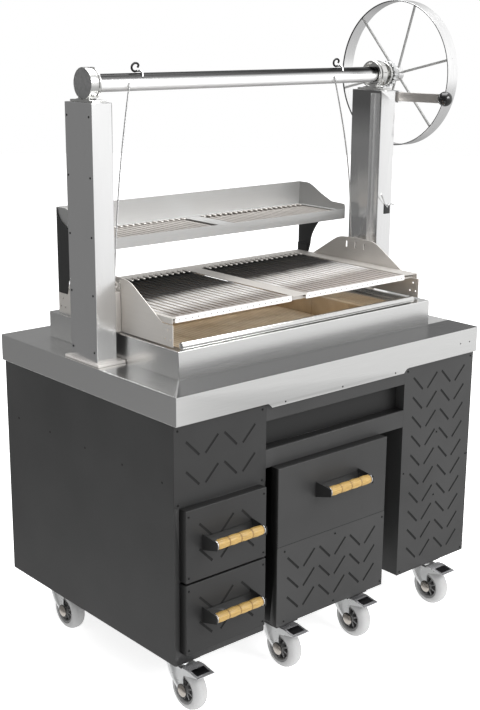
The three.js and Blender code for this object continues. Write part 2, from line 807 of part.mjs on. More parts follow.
// The corner between two neighbours, rounded off over plateRounding
function rounded(before, corner, after) {
  const ends = [before, after].map((p) => {
    const away = Math.hypot(p[0] - corner[0], p[1] - corner[1]);
    return [0, 1].map((i) => corner[i] + (p[i] - corner[i]) * Math.min(plateRounding / away, 1 / 2));
  });
  return Array.from({ length: roundingSteps + 1 }, (_, k) => {
    const t = k / roundingSteps;
    return [0, 1].map((i) => ends[0][i] * (1 - t) ** 2 + corner[i] * t * (1 - t) * 2 + ends[1][i] * t ** 2);
  });
}

// Carriage side plate
function carriagePlate() {
  const rise = [];
  for (let i = 1; i < plateBulgeSteps; i += 1) {
    const share = i / plateBulgeSteps;
    rise.push([plateSlopeEnd + (plateTopEnd - plateSlopeEnd) * share,
      plateTop + plateBulge * Math.sin(share * Math.PI)]);
  }
  const front = rounded([plateSlopeStart, plateStep], [plateSlopeEnd, plateTop], rise[0]);
  const back = rounded(rise[rise.length - 1], [plateTopEnd, plateTop], [plateSlopeFoot, plateStep]);
  const body = alongX([
    [plateFront, plateBottom], [plateRear, plateBottom], [plateRear, plateStep],
      [plateSlopeFoot, plateStep],
    ...back.reverse(), ...rise.reverse(), ...front.reverse(), [plateSlopeStart, plateStep],
    [plateFront, plateStep],
  ], plateInset, plateInset + plate);
  const tools = [];
  const middle = blockFront + blockDepth / 2;
  for (const step of [-1, 0, 1]) {
    const y = middle + step * eyeSlotPitch;
    tools.push(block([plateInset - overrun, plateInset + plate + overrun],
      [y - eyeSlotWidth / 2, y + eyeSlotWidth / 2], [eyeSlotZ - eyeSlotHeight / 2,
        eyeSlotZ + eyeSlotHeight / 2]));
  }
  for (const [inShare, upShare] of endHoleShares) {
    const inset = inShare * (plateStep - plateBottom);
    for (const y of [plateFront + inset, plateRear - inset]) {
      const z = plateBottom + upShare * (plateStep - plateBottom);
      tools.push(rod(plateHole / 2, [plateInset - overrun, y, z], [plateInset + plate + overrun, y, z], 6));
    }
  }
  return cut(body, ...tools);
}

// Slide block beside the post, with its tongue in the slot and the eye on top
function slideBlock(eyePlace) {
  const x0 = postX[1] + fitGap;
  const x1 = plateInset - fitGap;
  const z = [plateBottom, plateBottom + blockHeight];
  const y = [blockFront, blockFront + blockDepth];
  const slotY = [postY[0] + slotFront, postY[0] + slotFront + slotWidth];
  const body = block([x0 + stripThickness, x1], y, z);
  const strip = block([x0, x0 + stripThickness + bite], [y[0] - stripThickness, y[1] + stripThickness], z);
  const tongue = block([x0 - tongueLength, x0 + bite], [slotY[0] + tongueGap, slotY[1] - tongueGap], z);
  const ring = new THREE.TorusGeometry(eyeRadius, eyeWire / 2, 5, 10);
  ring.rotateX(Math.PI / 2);
  const eyeZ = cableFoot - fitGap - eyeRadius - eyeWire / 2;
  const eye = solid(ring).translate([eyeInset, eyePlace, eyeZ]);
  const stem = rod(eyeWire / 2, [eyeInset, eyePlace, z[1] - bite],
    [eyeInset, eyePlace, eyeZ - eyeRadius], 6);
  const nut = rod(eyeWire, [eyeInset, eyePlace, z[1] - bite], [eyeInset, eyePlace, z[1] + eyeWire], 6);
  return join(body, strip, tongue, eye, stem, nut);
}

// Grate frame: strips on top, two cross bearers and side flanges
const frameX = [plateInset + plate + fitGap, topWidth - plateInset - plate - fitGap];
const armInner = plateInset + plate + fitGap + plate;
const channelTop = frameTop - channelSheet;
const bearerTop = channelTop - channelDepth - fitGap;
const grateFields = [[leftGrateX, leftGrateX + grateWidth], [rightGrateX, rightGrateX + grateWidth]];

function grateFrame() {
  const top = block(frameX, [frameFront, frameRear], [frameTop - sheet, frameTop]);
  const fields = grateFields.map(([x0, x1]) => block([x0 - fitGap, x1 + fitGap],
    [frameFront - overrun, grateRear + fitGap], [frameTop - sheet - overrun, frameTop + overrun]));
  const flanges = [[frameX[0], frameX[0] + sheet], [frameX[1] - sheet, frameX[1]]].map((x) => block(
    x, [frameFront, frameRear], [bearerTop - bearerThickness, frameTop - bite]));
  const bearers = [grateFront + grateLand, grateRear - grateLand - bearerWidth].map((y) => block(
    [frameX[0] + bite, frameX[1] - bite], [y, y + bearerWidth], [bearerTop - bearerThickness, bearerTop]));
  const webs = [grateFront + grateLand, grateRear - grateLand - bearerWidth].map((y) => block(
    [grateFields[0][1] + sheet, grateFields[1][0] - sheet], [y, y + bearerWidth],
      [bearerTop - bite, frameTop - bite]));
  const notchX = [[frameX[0] - overrun, armInner + fitGap],
    [topWidth - armInner - fitGap, frameX[1] + overrun]];
  const notches = notchX.map((x) => block(x, [plateRear - armFootDepth - fitGap, frameRear + overrun],
    [bearerTop - bearerThickness - overrun, frameTop + overrun]));
  return cut(join(cut(top, ...fields), ...flanges, ...bearers, ...webs), ...notches);
}

// A field of V channels that run from front to back
function channels([x0, x1], [y0, y1], top) {
  const count = Math.floor((x1 - x0) / channelPitch);
  const start = (x0 + x1 - (count - 1) * channelPitch) / 2;
  const half = channelWidth / 2;
  return Array.from({ length: count }, (_, i) => {
    const x = start + i * channelPitch;
    return alongY([
      [x - half, top], [x, top - channelDepth], [x + half, top], [x, top - channelDepth + channelFloor],
    ], y0, y1);
  });
}

function grate([x0, x1]) {
  const y = [grateFront + sheet, grateRear - grateLand];
  const parts = channels([x0, x1], [y[0] - bite, y[1] + bite], channelTop);
  const front = block([x0, x1], [grateFront, grateFront + sheet],
    [frameTop - grateFlange, frameTop - bite]);
  const frontLand = block([x0, x1], [grateFront, grateFront + grateLand], [channelTop - bite, frameTop]);
  const rearLand = block([x0, x1], [grateRear - grateLand, grateRear], [channelTop - bite, frameTop]);
  const rear = block([x0, x1], [grateRear - grateLand, grateRear - grateLand + sheet],
    [channelTop - channelDepth, frameTop - bite]);
  return join(...parts, front, frontLand, rearLand, rear);
}

// Warming shelf: a tray open under its grate, with a raised back and swept end walls
const shelfX = [plateInset + plate + fitGap, topWidth - plateInset - plate - fitGap];
const shelfFloorTop = shelfLipTop - shelfGrateDrop;

function warmingShelf() {
  const tray = shell([shelfX, [shelfFront, shelfRear], [shelfLipBottom, shelfLipTop]],
    [[shelfX[0] + sheet, shelfX[1] - sheet], [shelfFront + sheet, shelfRear - sheet],
      [shelfLipBottom - overrun, shelfFloorTop - sheet]]);
  const well = block([shelfX[0] + sheet, shelfX[1] - sheet], [shelfFront + sheet, shelfRear - sheet],
    [shelfFloorTop, shelfLipTop + overrun]);
  const middle = (shelfX[0] + shelfX[1]) / 2;
  const fields = [[shelfX[0] + shelfLand, middle - shelfMiddle / 2],
    [middle + shelfMiddle / 2, shelfX[1] - shelfLand]];
  const windows = fields.map((x) => block(x, [shelfFront + shelfLand, shelfRear - shelfLand],
    [shelfFloorTop - sheet - overrun, shelfFloorTop + overrun]));
  const back = block(shelfX, [shelfRear - sheet, shelfRear], [shelfLipTop - bite, shelfBackTop]);
  const rise = shelfBackTop - shelfLipTop;
  const run = shelfRear - shelfFront;
  const wall = [[shelfRear, shelfLipTop - bite], [shelfFront, shelfLipTop - bite],
    ...shelfSweepShares.map(([along, high]) => [shelfFront + run * along, shelfLipTop + rise * high])];
  const ends = [[shelfX[0], shelfX[0] + sheet], [shelfX[1] - sheet, shelfX[1]]].map(([x0, x1]) => alongX(
    wall.slice().reverse(), x0, x1));
  return join(cut(tray, well, ...windows), back, ...ends);
}

function shelfGrate() {
  const x = [shelfX[0] + sheet + fitGap, shelfX[1] - sheet - fitGap];
  const y = [shelfFront + sheet + fitGap, shelfRear - sheet - fitGap];
  const top = shelfFloorTop - sheet - fitGap;
  const parts = channels([x[0] + grateLand, x[1] - grateLand], [y[0] + bite, y[1] - bite], top);
  for (const y0 of [y[0], y[1] - sheet]) {
    parts.push(block(x, [y0, y0 + sheet], [top - channelDepth - sheet, top]));
  }
  for (const x0 of [x[0], x[1] - sheet]) {
    parts.push(block([x0, x0 + sheet], y, [top - channelDepth, top]));
  }
  return join(...parts);
}

// Shelf arm: stands on the rear end of the carriage plate, bolted behind it
function shelfArm() {
  const foot = [plateRear, plateStep + fitGap];
  const necks = [];
  for (let i = 0; i <= armNeckSteps; i += 1) {
    const share = i / armNeckSteps;
    const depth = armNeckDepth + (armHeadDepth - armNeckDepth) * (1 - Math.cos((share * Math.PI) / 2));
    const high = armStraightShare + (1 - armStraightShare) * share;
    necks.push([plateRear - depth, plateStep + (shelfLipBottom - plateStep) * high]);
  }
  const crown = [];
  for (let i = 0; i <= armCrownSteps; i += 1) {
    const angle = (i / armCrownSteps) * (Math.PI / 2);
    crown.push([plateRear - armHeadDepth + (armHeadDepth - sheet) * Math.sin(angle),
      shelfLipTop + (shelfBackTop - shelfLipTop) * (1 - Math.cos(angle))]);
  }
  const body = alongX([foot, [plateRear, shelfBackTop], ...crown.slice(1, armCrownSteps).reverse(),
    [plateRear - armHeadDepth, shelfLipTop], ...necks.slice().reverse(),
    [plateRear - armFootDepth, plateStep + fitGap]].reverse(), plateInset, plateInset + plate);
  const lap = block([plateInset + plate + fitGap, armInner],
    [plateRear - armFootDepth, plateRear], [plateStep - armFootLap, plateStep + armFootLap]);
  const seam = block([plateInset + bite, armInner - bite], [plateRear - armFootDepth, plateRear - bite],
    [plateStep + fitGap, plateStep + armFootLap]);
  return join(body, lap, seam);
}

// Opener hook on the front of the right post
function openerHook() {
  const y1 = postY[0] - fitGap;
  const y0 = y1 - hookPlateThickness;
  const x = [hookPlateX, hookPlateX + hookPlateWidth];
  const top = hookPlateBottom + hookPlateHeight;
  const tab = block(x, [y0, y1], [hookPlateBottom, top]);
  const middle = (x[0] + x[1]) / 2;
  const y = y0 - openerWire / 2 + bite;
  const left = wire(openerWire / 2, [[middle, y, top - openerWire * 2], [x[0], y, top + openerWire],
    [middle - openerLeftReach / 2, y - openerStand / 2, top + openerRise / 3],
    [middle - openerLeftReach, y - openerStand, top + openerRise]], 6, 6);
  const right = wire(openerWire / 2, [[middle, y, top - openerWire], [x[1], y, top + openerWire / 2],
    [middle + openerRightReach / 2, y - openerStand / 2, top],
    [middle + openerRightReach, y - openerStand, top + openerWire]], 6, 6);
  return join(tab, left, right);
}

// Drawers
function drawer(z0) {
  const x = [drawerPanInset, drawerPanInset + drawerPanWidth];
  const z = [z0, z0 + drawerPanHeight];
  const pan = shell([x, [panFront, panBack], z],
    [[x[0] + sheet, x[1] - sheet], [panFront + sheet, panBack + overrun], [z[0] + sheet, z[1] - sheet]]);
  const boxZ = [z[0] + drawerBoxInset, z[1] - drawerBoxDrop];
  const box = shell([drawerX, [panFront + bite, drawerBoxDepth], boxZ],
    [[drawerX[0] + sheet, drawerX[1] - sheet], [panFront + sheet, drawerBoxDepth - sheet],
      [boxZ[0] + sheet, boxZ[1] + overrun]]);
  return cut(join(pan, box), ...herringbone(x, z, panFront));
}

// Handle: a folded bracket with two arms, and a grip between them
function handleBracket(centre, z, front) {
  const bottom = z - handleArm / 2 - handleLift;
  const reach = gripReach + gripDiameter / 2;
  const y = front - fitGap;
  const tip = handleArm * handleTipShare;
  const arms = [-1, 1].map((side) => {
    const inner = centre + side * (gripLength / 2 + fitGap);
    const outer = inner + side * plate;
    return alongX([[y, bottom], [y, bottom + handleArm + handleLift], [y - reach, z + tip / 2],
      [y - reach, z - tip / 2]],
      Math.min(inner, outer), Math.max(inner, outer));
  });
  const span = gripLength / 2 + fitGap + plate;
  const base = block([centre - span, centre + span], [y - sheet, y], [bottom, bottom + handleArm]);
  return join(base, ...arms);
}

function grip(centre, z, front) {
  const radius = gripDiameter / 2;
  const start = centre - gripLength / 2;
  const profile = [[0, start], [radius, start], [radius, start + ferruleLength]];
  const swellShares = [1, gripWaistShare];
  const length = (gripLength - ferruleLength * 2) / gripSegments;
  for (let i = 1; i < gripSegments * 2; i += 1) {
    profile.push([radius * swellShares[(i + 1) % 2], start + ferruleLength + (length * i) / 2]);
  }
  profile.push([radius, start + gripLength - ferruleLength], [radius, start + gripLength],
    [0, start + gripLength]);
  return turnedX(profile, 10).translate([0, front - gripReach, z]);
}

// Cart: an open bin on castors, with a plain upper front and an engraved lower panel
const cartX = [cartPanOffset, cartPanOffset + cartPanWidth];

function cartBody() {
  const pan = shell([cartX, [panFront, panBack], [cartFloor, cartTop]],
    [[cartX[0] + sheet, cartX[1] - sheet], [panFront + sheet, panBack + overrun],
      [cartFloor + sheet, cartTop - sheet]]);
  const boxX = [cartX[0] + cartBoxInset, cartX[1] - cartBoxInset];
  const box = shell([boxX, [panFront + sheet / 2, cartDepth], [cartFloor, cartTop - cartBoxInset]],
    [[boxX[0] + sheet, boxX[1] - sheet], [panFront + sheet * 2 + fitGap, cartDepth - sheet],
      [cartFloor + sheet, cartTop + overrun]]);
  const seat = block([cartX[0] - overrun, cartX[1] + overrun],
    [panFront - overrun, panFront + sheet + fitGap],
    [cartFloor - overrun, cartSplit]);
  const backing = block([cartX[0], cartX[1]], [panFront + sheet + fitGap, panFront + sheet * 2 + fitGap],
    [cartFloor, cartSplit + sheet]);
  const rails = cartSwivelY.map((y) => block([boxX[0] + cartRailInset, boxX[1] - cartRailInset],
    [Math.max(y - cartRailDepth / 2, panFront + sheet * 2), y + cartRailDepth / 2],
      [castorHeight, cartFloor + bite]));
  const forks = cartWheelX.map((x) => fork(x, cartWheelY[1], false));
  const pads = cartWheelX.map((x) => castorPad(x, cartSwivelY[0], panFront));
  return join(cut(join(pan, box), seat), backing, ...rails, ...pads, ...forks);
}

// Castors: the swivel axis stands a trail's length behind the wheel's axis
const wheelRadius = wheelDiameter / 2;
const cabinetSwivels = cabinetWheelX.flatMap((x, i) => cabinetWheelY.map(
  (y, j) => [x + (j === 1 ? cabinetWheelShift[i] : 0), y + trail]));
const cartSwivelY = cartWheelY.map((y) => y + trail);

// Side of a fork as shares of its reach behind the axle and of its height above it
const forkShares = [[-0.09, 0.76], [-0.04, 0.3], [-0.14, 0.1], [-0.17, -0.03], [-0.1, -0.18],
  [0.03, -0.23], [0.19, -0.16], [0.31, -0.02], [0.67, 0.27], [0.86, 0.71]];

function fork(x, y, swivels) {
  const side = wheelWidth / 2 + forkSideGap;
  const crown = castorHeight - castorPlate - (swivels ? fitGap : -bite);
  const bridgeTop = swivels ? crown - swivelHeight : crown + castorPlate;
  const bridgeBottom = wheelDiameter + forkSideGap;
  const swivelY = y + trail;
  const ends = [swivelY - forkTopLength / 2, swivelY + forkTopLength / 2];
  const curve = forkShares.map(([back, up]) => [y + back * (ends[1] - y),
    wheelRadius + up * (bridgeTop - wheelRadius)]);
  const edge = [[ends[0], bridgeTop], [ends[0], bridgeTop - forkHeel], ...curve, [ends[1], bridgeTop]];
  const legs = [-1, 1].map((s) => {
    const inner = x + s * side;
    const outer = inner + s * forkSheet;
    return alongX(edge, Math.min(inner, outer), Math.max(inner, outer));
  });
  const bridge = block([x - side - forkSheet, x + side + forkSheet], ends, [bridgeBottom, bridgeTop]);
  const parts = [...legs, bridge];
  if (swivels) parts.push(rod(swivelDiameter / 2, [x, swivelY, bridgeTop - bite], [x, swivelY, crown], 10));
  parts.push(discX(axleDiameter / 2, x - side - forkSheet, x + side + forkSheet, y, wheelRadius, 6));
  for (const s of [-1, 1]) {
    const face = x + s * (side + forkSheet);
    parts.push(discX(axleCap / 2, Math.min(face - s * bite, face + s * axleCapHeight),
      Math.max(face - s * bite, face + s * axleCapHeight), y, wheelRadius, 8));
  }
  return join(...parts);
}

function castorWheel(x, y) {
  const half = wheelWidth / 2;
  const tread = treadWidth / 2;
  const bore = axleDiameter / 2 + runningGap;
  const hub = hubDiameter / 2;
  const hubHalf = half + forkSideGap / 2;
  const web = half - coreRecess;
  const core = coreDiameter / 2;
  const shoulder = wheelRadius - shoulderDrop;
  const side = [[bore, hubHalf], [hub, hubHalf], [hub, web], [core, web], [core, half], [shoulder, half],
    [wheelRadius, tread]];
  const profile = [...side.map(([radius, out]) => [radius, x - out]),
    ...[...side].reverse().map(([radius, out]) => [radius, x + out]), [bore, x - hubHalf]];
  const lift = wheelRadius * (1 - Math.cos(Math.PI / wheelSides));
  const swell = wheelRadius / (wheelRadius - lift);
  const turned = turnedX(profile, wheelSides).rotate([180 / wheelSides, 0, 0]);
  return turned.scale([1, swell, swell]).translate([0, y, wheelRadius]);
}

// Brake pedal: a tread that reaches forward over the wheel, with a cheek down each side of the fork
function brakePedal(x, y) {
  const high = castorHeight - castorPlate - pedalClearance;
  const heel = high - pedalRidgeRise;
  const rear = y + trail - forkTopLength / 2 - pedalGap;
  const ridge = rear - pedalRidge;
  const front = rear - pedalLength;
  const low = high - pedalDrop;
  const tread = alongX([
    [rear, heel - pedalHeel], [rear, heel], [ridge, high], [front, low], [front - pedalFlange, low],
    [front - pedalFlange, low - pedalSheet], [front, low - pedalSheet], [ridge, high - pedalSheet],
    [rear - pedalSheet, heel - pedalSheet], [rear - pedalSheet, heel - pedalHeel],
  ], x - pedalWidth / 2, x + pedalWidth / 2);
  const cheek = [
    [rear - pedalSheet, heel - pedalHeel], [rear - pedalSheet, heel - bite], [ridge, high - bite],
    [front, low - bite], [front, low - pedalSheet], [rear - cheekNotch, heel - cheekDrop],
  ];
  const cheeks = [-1, 1].map((s) => alongX(cheek,
    Math.min(x + s * (pedalWidth / 2 - pedalSheet), x + s * pedalWidth / 2),
    Math.max(x + s * (pedalWidth / 2 - pedalSheet), x + s * pedalWidth / 2)));
  return join(tread, ...cheeks);
}

// The grill, piece by piece
add('worktop', worktop(), stainless);
add('left_column', leftColumn(), blackCoat);
add('right_column', rightColumn(), blackCoat);
add('bay_frame', bayFrame(), blackCoat);
const leftDecor = decorPanel([cabinetSideInset, columnInner], [decorBottom, cabinetTop], panelFront, sheet);
add('left_decor_panel', leftDecor, blackCoat);
const rightDecor = decorPanel([rightColumnStart, rightColumnEnd], [castorHeight, cabinetTop], panelFront,
  sheet);
add('right_decor_panel', rightDecor, blackCoat);
add('firebox', firebox(), stainless);
add('firebox_lip_bar', fireboxLipBar(), stainless);
add('brick_bed', brickBed(), brick);
add('left_post', post(), stainless);
add('right_post', join(mirroredX(post()), leverLug()), stainless);
add('left_bearing', bearing(false), stainless);
add('right_bearing', mirroredX(bearing(true)), stainless);
add('opener_hook', openerHook(), blackSteel);
add('left_cable', cable(eyeInset, cableTopX[0], eyeY[0]), cableSteel);
add('right_cable', cable(topWidth - eyeInset, cableTopX[1], eyeY[1]), cableSteel);
add('lift_tube', liftTube(), stainless);
add('ratchet_wheel', ratchetWheel(), zinc);
add('handwheel', handwheel(), stainless);
add('brake_lever', brakeLever(), stainless);
add('lever_knob', leverKnob(), knobBlack);
add('left_carriage_plate', carriagePlate(), stainless);
add('right_carriage_plate', mirroredX(carriagePlate()), stainless);
add('left_slide_block', slideBlock(eyeY[0]), stainless);
add('right_slide_block', mirroredX(slideBlock(eyeY[1])), stainless);
add('grate_frame', grateFrame(), stainless);
add('left_grate', grate(grateFields[0]), darkPlate);
add('right_grate', grate(grateFields[1]), darkPlate);
add('warming_shelf', warmingShelf(), stainless);
add('shelf_grate', shelfGrate(), stainless);
add('left_shelf_arm', shelfArm(), blackSteel);
add('right_shelf_arm', mirroredX(shelfArm()), blackSteel);

['lower', 'upper'].forEach((level, i) => {
  const centre = drawerPanInset + drawerPanWidth * drawerHandleShare;
  const z = drawerBottoms[i] + drawerPanHeight * handleRiseShare;
  add(`${level}_drawer`, drawer(drawerBottoms[i]), blackCoat);
  add(`${level}_handle_bracket`, handleBracket(centre, z, panFront), blackSteel);
  add(`${level}_grip`, grip(centre, z, panFront), bamboo);
});

const cartCentre = cartX[0] + cartPanWidth * cartHandleShare;
add('cart_body', cartBody(), blackCoat);
add('cart_decor_panel', decorPanel(cartX, [cartFloor, cartSplit - fitGap], panFront, sheet), blackCoat);
add('cart_handle_bracket', handleBracket(cartCentre, cartHandleHeight, panFront), blackSteel);
add('cart_grip', grip(cartCentre, cartHandleHeight, panFront), bamboo);

const cabinetCastors = ['front_left', 'rear_left', 'front_right', 'rear_right'];
cabinetCastors.forEach((place, i) => {
  const [x, swivelY] = cabinetSwivels[i];
  add(`${place}_fork`, fork(x, swivelY - trail, true), zinc);
  add(`${place}_wheel`, castorWheel(x, swivelY - trail), tyreWhite);
  if (place.startsWith('front')) add(`${place}_pedal`, brakePedal(x, swivelY - trail), chrome);
});
['left', 'right'].forEach((side, i) => {
  const x = cartWheelX[i];
  add(`cart_${side}_fork`, fork(x, cartWheelY[0], true), zinc);
  add(`cart_${side}_wheel`, castorWheel(x, cartWheelY[0]), tyreWhite);
  add(`cart_${side}_pedal`, brakePedal(x, cartWheelY[0]), chrome);
  add(`cart_rear_${side}_wheel`, castorWheel(x, cartWheelY[1]), tyreWhite);
});

// The origin goes to the middle of the footprint, on the floor
grill.updateMatrixWorld(true);
const bounds = new THREE.Box3().setFromObject(grill);
grill.position.set(-(bounds.min.x + bounds.max.x) / 2, -(bounds.min.y + bounds.max.y) / 2, -bounds.min.z);

export default grill;
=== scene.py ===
"""Looks of a charcoal grill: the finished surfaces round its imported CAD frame."""

import json
import math
from itertools import pairwise

import bmesh
import bpy
import numpy as np
from bpy.props import FloatProperty, FloatVectorProperty, IntProperty, PointerProperty
from mathutils import Matrix, Vector

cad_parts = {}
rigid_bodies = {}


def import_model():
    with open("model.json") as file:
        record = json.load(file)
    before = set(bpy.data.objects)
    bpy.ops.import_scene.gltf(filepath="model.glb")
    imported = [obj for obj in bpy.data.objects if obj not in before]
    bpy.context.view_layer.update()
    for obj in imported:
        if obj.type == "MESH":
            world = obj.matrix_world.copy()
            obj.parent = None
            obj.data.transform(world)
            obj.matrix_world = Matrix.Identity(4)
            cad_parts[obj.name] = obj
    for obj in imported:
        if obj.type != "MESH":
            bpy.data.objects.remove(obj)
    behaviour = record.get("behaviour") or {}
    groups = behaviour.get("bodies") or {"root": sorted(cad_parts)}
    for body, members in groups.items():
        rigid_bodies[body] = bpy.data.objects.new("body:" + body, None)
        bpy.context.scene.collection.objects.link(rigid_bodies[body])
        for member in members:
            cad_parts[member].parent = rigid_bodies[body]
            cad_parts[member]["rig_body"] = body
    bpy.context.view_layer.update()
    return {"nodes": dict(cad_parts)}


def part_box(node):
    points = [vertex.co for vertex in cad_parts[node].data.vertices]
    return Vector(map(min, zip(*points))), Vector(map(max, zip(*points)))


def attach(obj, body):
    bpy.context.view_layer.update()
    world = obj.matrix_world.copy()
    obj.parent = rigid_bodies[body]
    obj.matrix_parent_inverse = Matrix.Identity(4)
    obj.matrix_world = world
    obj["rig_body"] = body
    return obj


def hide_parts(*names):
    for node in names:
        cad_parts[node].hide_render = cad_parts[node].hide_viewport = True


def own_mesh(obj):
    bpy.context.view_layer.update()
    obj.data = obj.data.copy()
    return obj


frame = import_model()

bl_info = {
    "name": "Charcoal grill looks",
    "version": (1, 0, 0),
    "blender": (4, 5, 0),
    "location": "View3D > Sidebar > Grill",
    "description": "Builds the visible surfaces of a charcoal grill round its CAD frame",
    "category": "Object",
}

MM = 0.001
# The drawing puts zero on the floor under the worktop's front left corner, in millimetres
SHIFT = np.array([643.0, 388.85, -8.0])
WORKTOP_WIDTH = 1200
# Depths of the fixed panels' front plane and of the drawers' and cart's
PANEL_FRONT = 12
DRAWER_FRONT = -17
SHAFT_AXIS = np.array([0, 432, 1645])
CHANNEL_PITCH = 22
# Heights of the castors' axles, of their forks' tops and of the bearing cups over them
AXLE = 53.0
FORK_TOP = 118.7
CROWN = 126.7


# Mesh helpers: a part is (vertices in millimetres of the drawing, quads, material number)


def surface(grid, around=False, along=False, material=0):
    """Quads over a grid of points [i, j]; around joins the last j to the first, along the last i."""
    rows, columns = grid.shape[:2]
    i = np.arange(rows if along else rows - 1)
    j = np.arange(columns if around else columns - 1)
    a, b = np.meshgrid(i, j, indexing="ij")
    a2, b2 = (a + 1) % rows, (b + 1) % columns
    quads = np.stack([a * columns + b, a * columns + b2, a2 * columns + b2, a2 * columns + b], -1)
    return grid.reshape(-1, 3), quads.reshape(-1, 4), material


def turned(profile, centre, sides, material=0, closed=False, axis="x"):
    """A turned form: each (place, radius) of the profile goes round as radius * (cos, sin) of the angle."""
    place, radius = np.asarray(profile, float).T
    angle = np.linspace(0, 2 * np.pi, sides, endpoint=False)
    u = radius[:, None] * np.cos(angle)
    v = radius[:, None] * np.sin(angle)
    w = np.broadcast_to(place[:, None], u.shape)
    order = {"x": (w, u, v), "y": (v, w, u), "z": (u, v, w)}[axis]
    return surface(np.stack(order, -1) + np.asarray(centre, float), True, closed, material)


def capped(loops):
    """Loops of points, with a ring in the middle of the first and of the last one added to close them."""
    ends = [np.broadcast_to(loops[i].mean(0), loops[i].shape)[None] for i in (0, -1)]
    return np.concatenate([ends[0], loops, ends[1]])


def tube(path, radius, sides, material=0, closed=False):
    """A round section carried along a path: each ring stands square to the path's tangent, and its start
    direction is carried over from ring to ring. The ends close in a point ring. radius may be an array."""
    path = np.asarray(path, float)
    tangent = np.roll(path, -1, 0) - np.roll(path, 1, 0) if closed else np.gradient(path, axis=0)
    tangent /= np.linalg.norm(tangent, axis=1)[:, None]
    side = np.zeros_like(path)
    first = np.cross(tangent[0], [0.3, 0.2, 1.0])
    side[0] = first / np.linalg.norm(first)
    for k in range(1, len(path)):
        step = side[k - 1] - tangent[k] * np.dot(side[k - 1], tangent[k])
        side[k] = step / np.linalg.norm(step)
    other = np.cross(tangent, side)
    angle = np.linspace(0, 2 * np.pi, sides, endpoint=False)[None, :, None]
    reach = np.broadcast_to(np.asarray(radius, float), (len(path),))[:, None, None]
    rings = path[:, None] + reach * (np.cos(angle) * side[:, None] + np.sin(angle) * other[:, None])
    if not closed:
        rings = np.concatenate([np.broadcast_to(path[:1, None], rings[:1].shape), rings,
                                np.broadcast_to(path[-1:, None], rings[:1].shape)])
    return surface(rings, True, closed, material)


def smooth(points, steps):
    """A curve through the points: the cubic that passes each one with the slope of its two neighbours."""
    p = np.asarray(points, float)
    slope = (np.vstack([p[1:], 2 * p[-1] - p[-2]]) - np.vstack([2 * p[0] - p[1], p[:-1]])) / 2
    t = np.linspace(0, 1, steps, endpoint=False)[None, :, None]
    p0, p1, m0, m1 = p[:-1, None], p[1:, None], slope[:-1, None], slope[1:, None]
    curve = ((2 * t**3 - 3 * t**2 + 1) * p0 + (t**3 - 2 * t**2 + t) * m0
             + (3 * t**2 - 2 * t**3) * p1 + (t**3 - t**2) * m1).reshape(-1, p.shape[1])
    return np.vstack([curve, p[-1]])


def prism(outline, low, high, material=0):
    """A flat outline of (y, z) carried straight from x = low to x = high, closed at both ends."""
    outline = np.asarray(outline, float)
    loops = np.stack([np.insert(outline, 0, x, axis=1) for x in (low, high)])
    return surface(capped(loops), around=True, material=material)


def bar(low, high, edge, material=0):
    """A block with rounded edges: the eight octants of a small ball moved to the block's corners."""
    low, high = np.minimum(low, high).astype(float), np.maximum(low, high).astype(float)
    edge = min(edge, float((high - low).min()) * 0.49)
    t = np.radians([-90, -60, -30, 0, 0, 30, 60, 90])
    lift = np.repeat([-1, 1], 4)
    turn = np.radians([start + step for start in (0, 90, 180, 270) for step in (0, 30, 60, 90)])
    sx = np.repeat([1, -1, -1, 1], 4)
    sy = np.repeat([1, 1, -1, -1], 4)
    half = (high - low) / 2 - edge
    x = edge * np.outer(np.cos(t), np.cos(turn)) + half[0] * sx
    y = edge * np.outer(np.cos(t), np.sin(turn)) + half[1] * sy
    z = (edge * np.sin(t) + half[2] * lift)[:, None] + np.zeros_like(x)
    cap = np.stack([x * 0, y * 0, z], -1)
    grid = np.concatenate([cap[:1], np.stack([x, y, z], -1), cap[-1:]])
    return surface(grid + (low + high) / 2, around=True, material=material)


def built(name, parts, materials, body, angle=35, keep_open=False):
    """One object from several parts: doubles merged, faces turned outwards, smooth up to the angle."""
    offsets = np.cumsum([0] + [len(v) for v, _, _ in parts])
    points = (np.vstack([v for v, _, _ in parts]) - SHIFT) * MM
    quads = np.vstack([q + o for (_, q, _), o in zip(parts, offsets)])
    mesh = bpy.data.meshes.new(name)
    mesh.vertices.add(len(points))
    mesh.vertices.foreach_set("co", points.ravel())
    mesh.loops.add(quads.size)
    mesh.loops.foreach_set("vertex_index", quads.ravel())
    mesh.polygons.add(len(quads))
    mesh.polygons.foreach_set("loop_start", np.arange(0, quads.size, 4))
    mesh.polygons.foreach_set("material_index", np.concatenate([np.full(len(q), m) for _, q, m in parts]))
    mesh.update(calc_edges=True)
    shape = bmesh.new()
    shape.from_mesh(mesh)
    bmesh.ops.remove_doubles(shape, verts=shape.verts, dist=1e-6)
    bmesh.ops.dissolve_degenerate(shape, edges=shape.edges, dist=1e-7)
    if not keep_open:
        bmesh.ops.recalc_face_normals(shape, faces=shape.faces)
    shape.to_mesh(mesh)
    shape.free()
    return finished(name, mesh, materials, body, angle)


def finished(name, mesh, materials, body, angle):
    """An object of the mesh, smooth up to the angle in degrees, that rides on its body."""
    mesh.shade_smooth()
    mesh.set_sharp_from_angle(angle=math.radians(angle))
    for material in materials if isinstance(materials, list) else [materials]:
        mesh.materials.append(material)
    thing = bpy.data.objects.new(name, mesh)
    bpy.context.scene.collection.objects.link(thing)
    if body:
        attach(thing, body)
    return thing


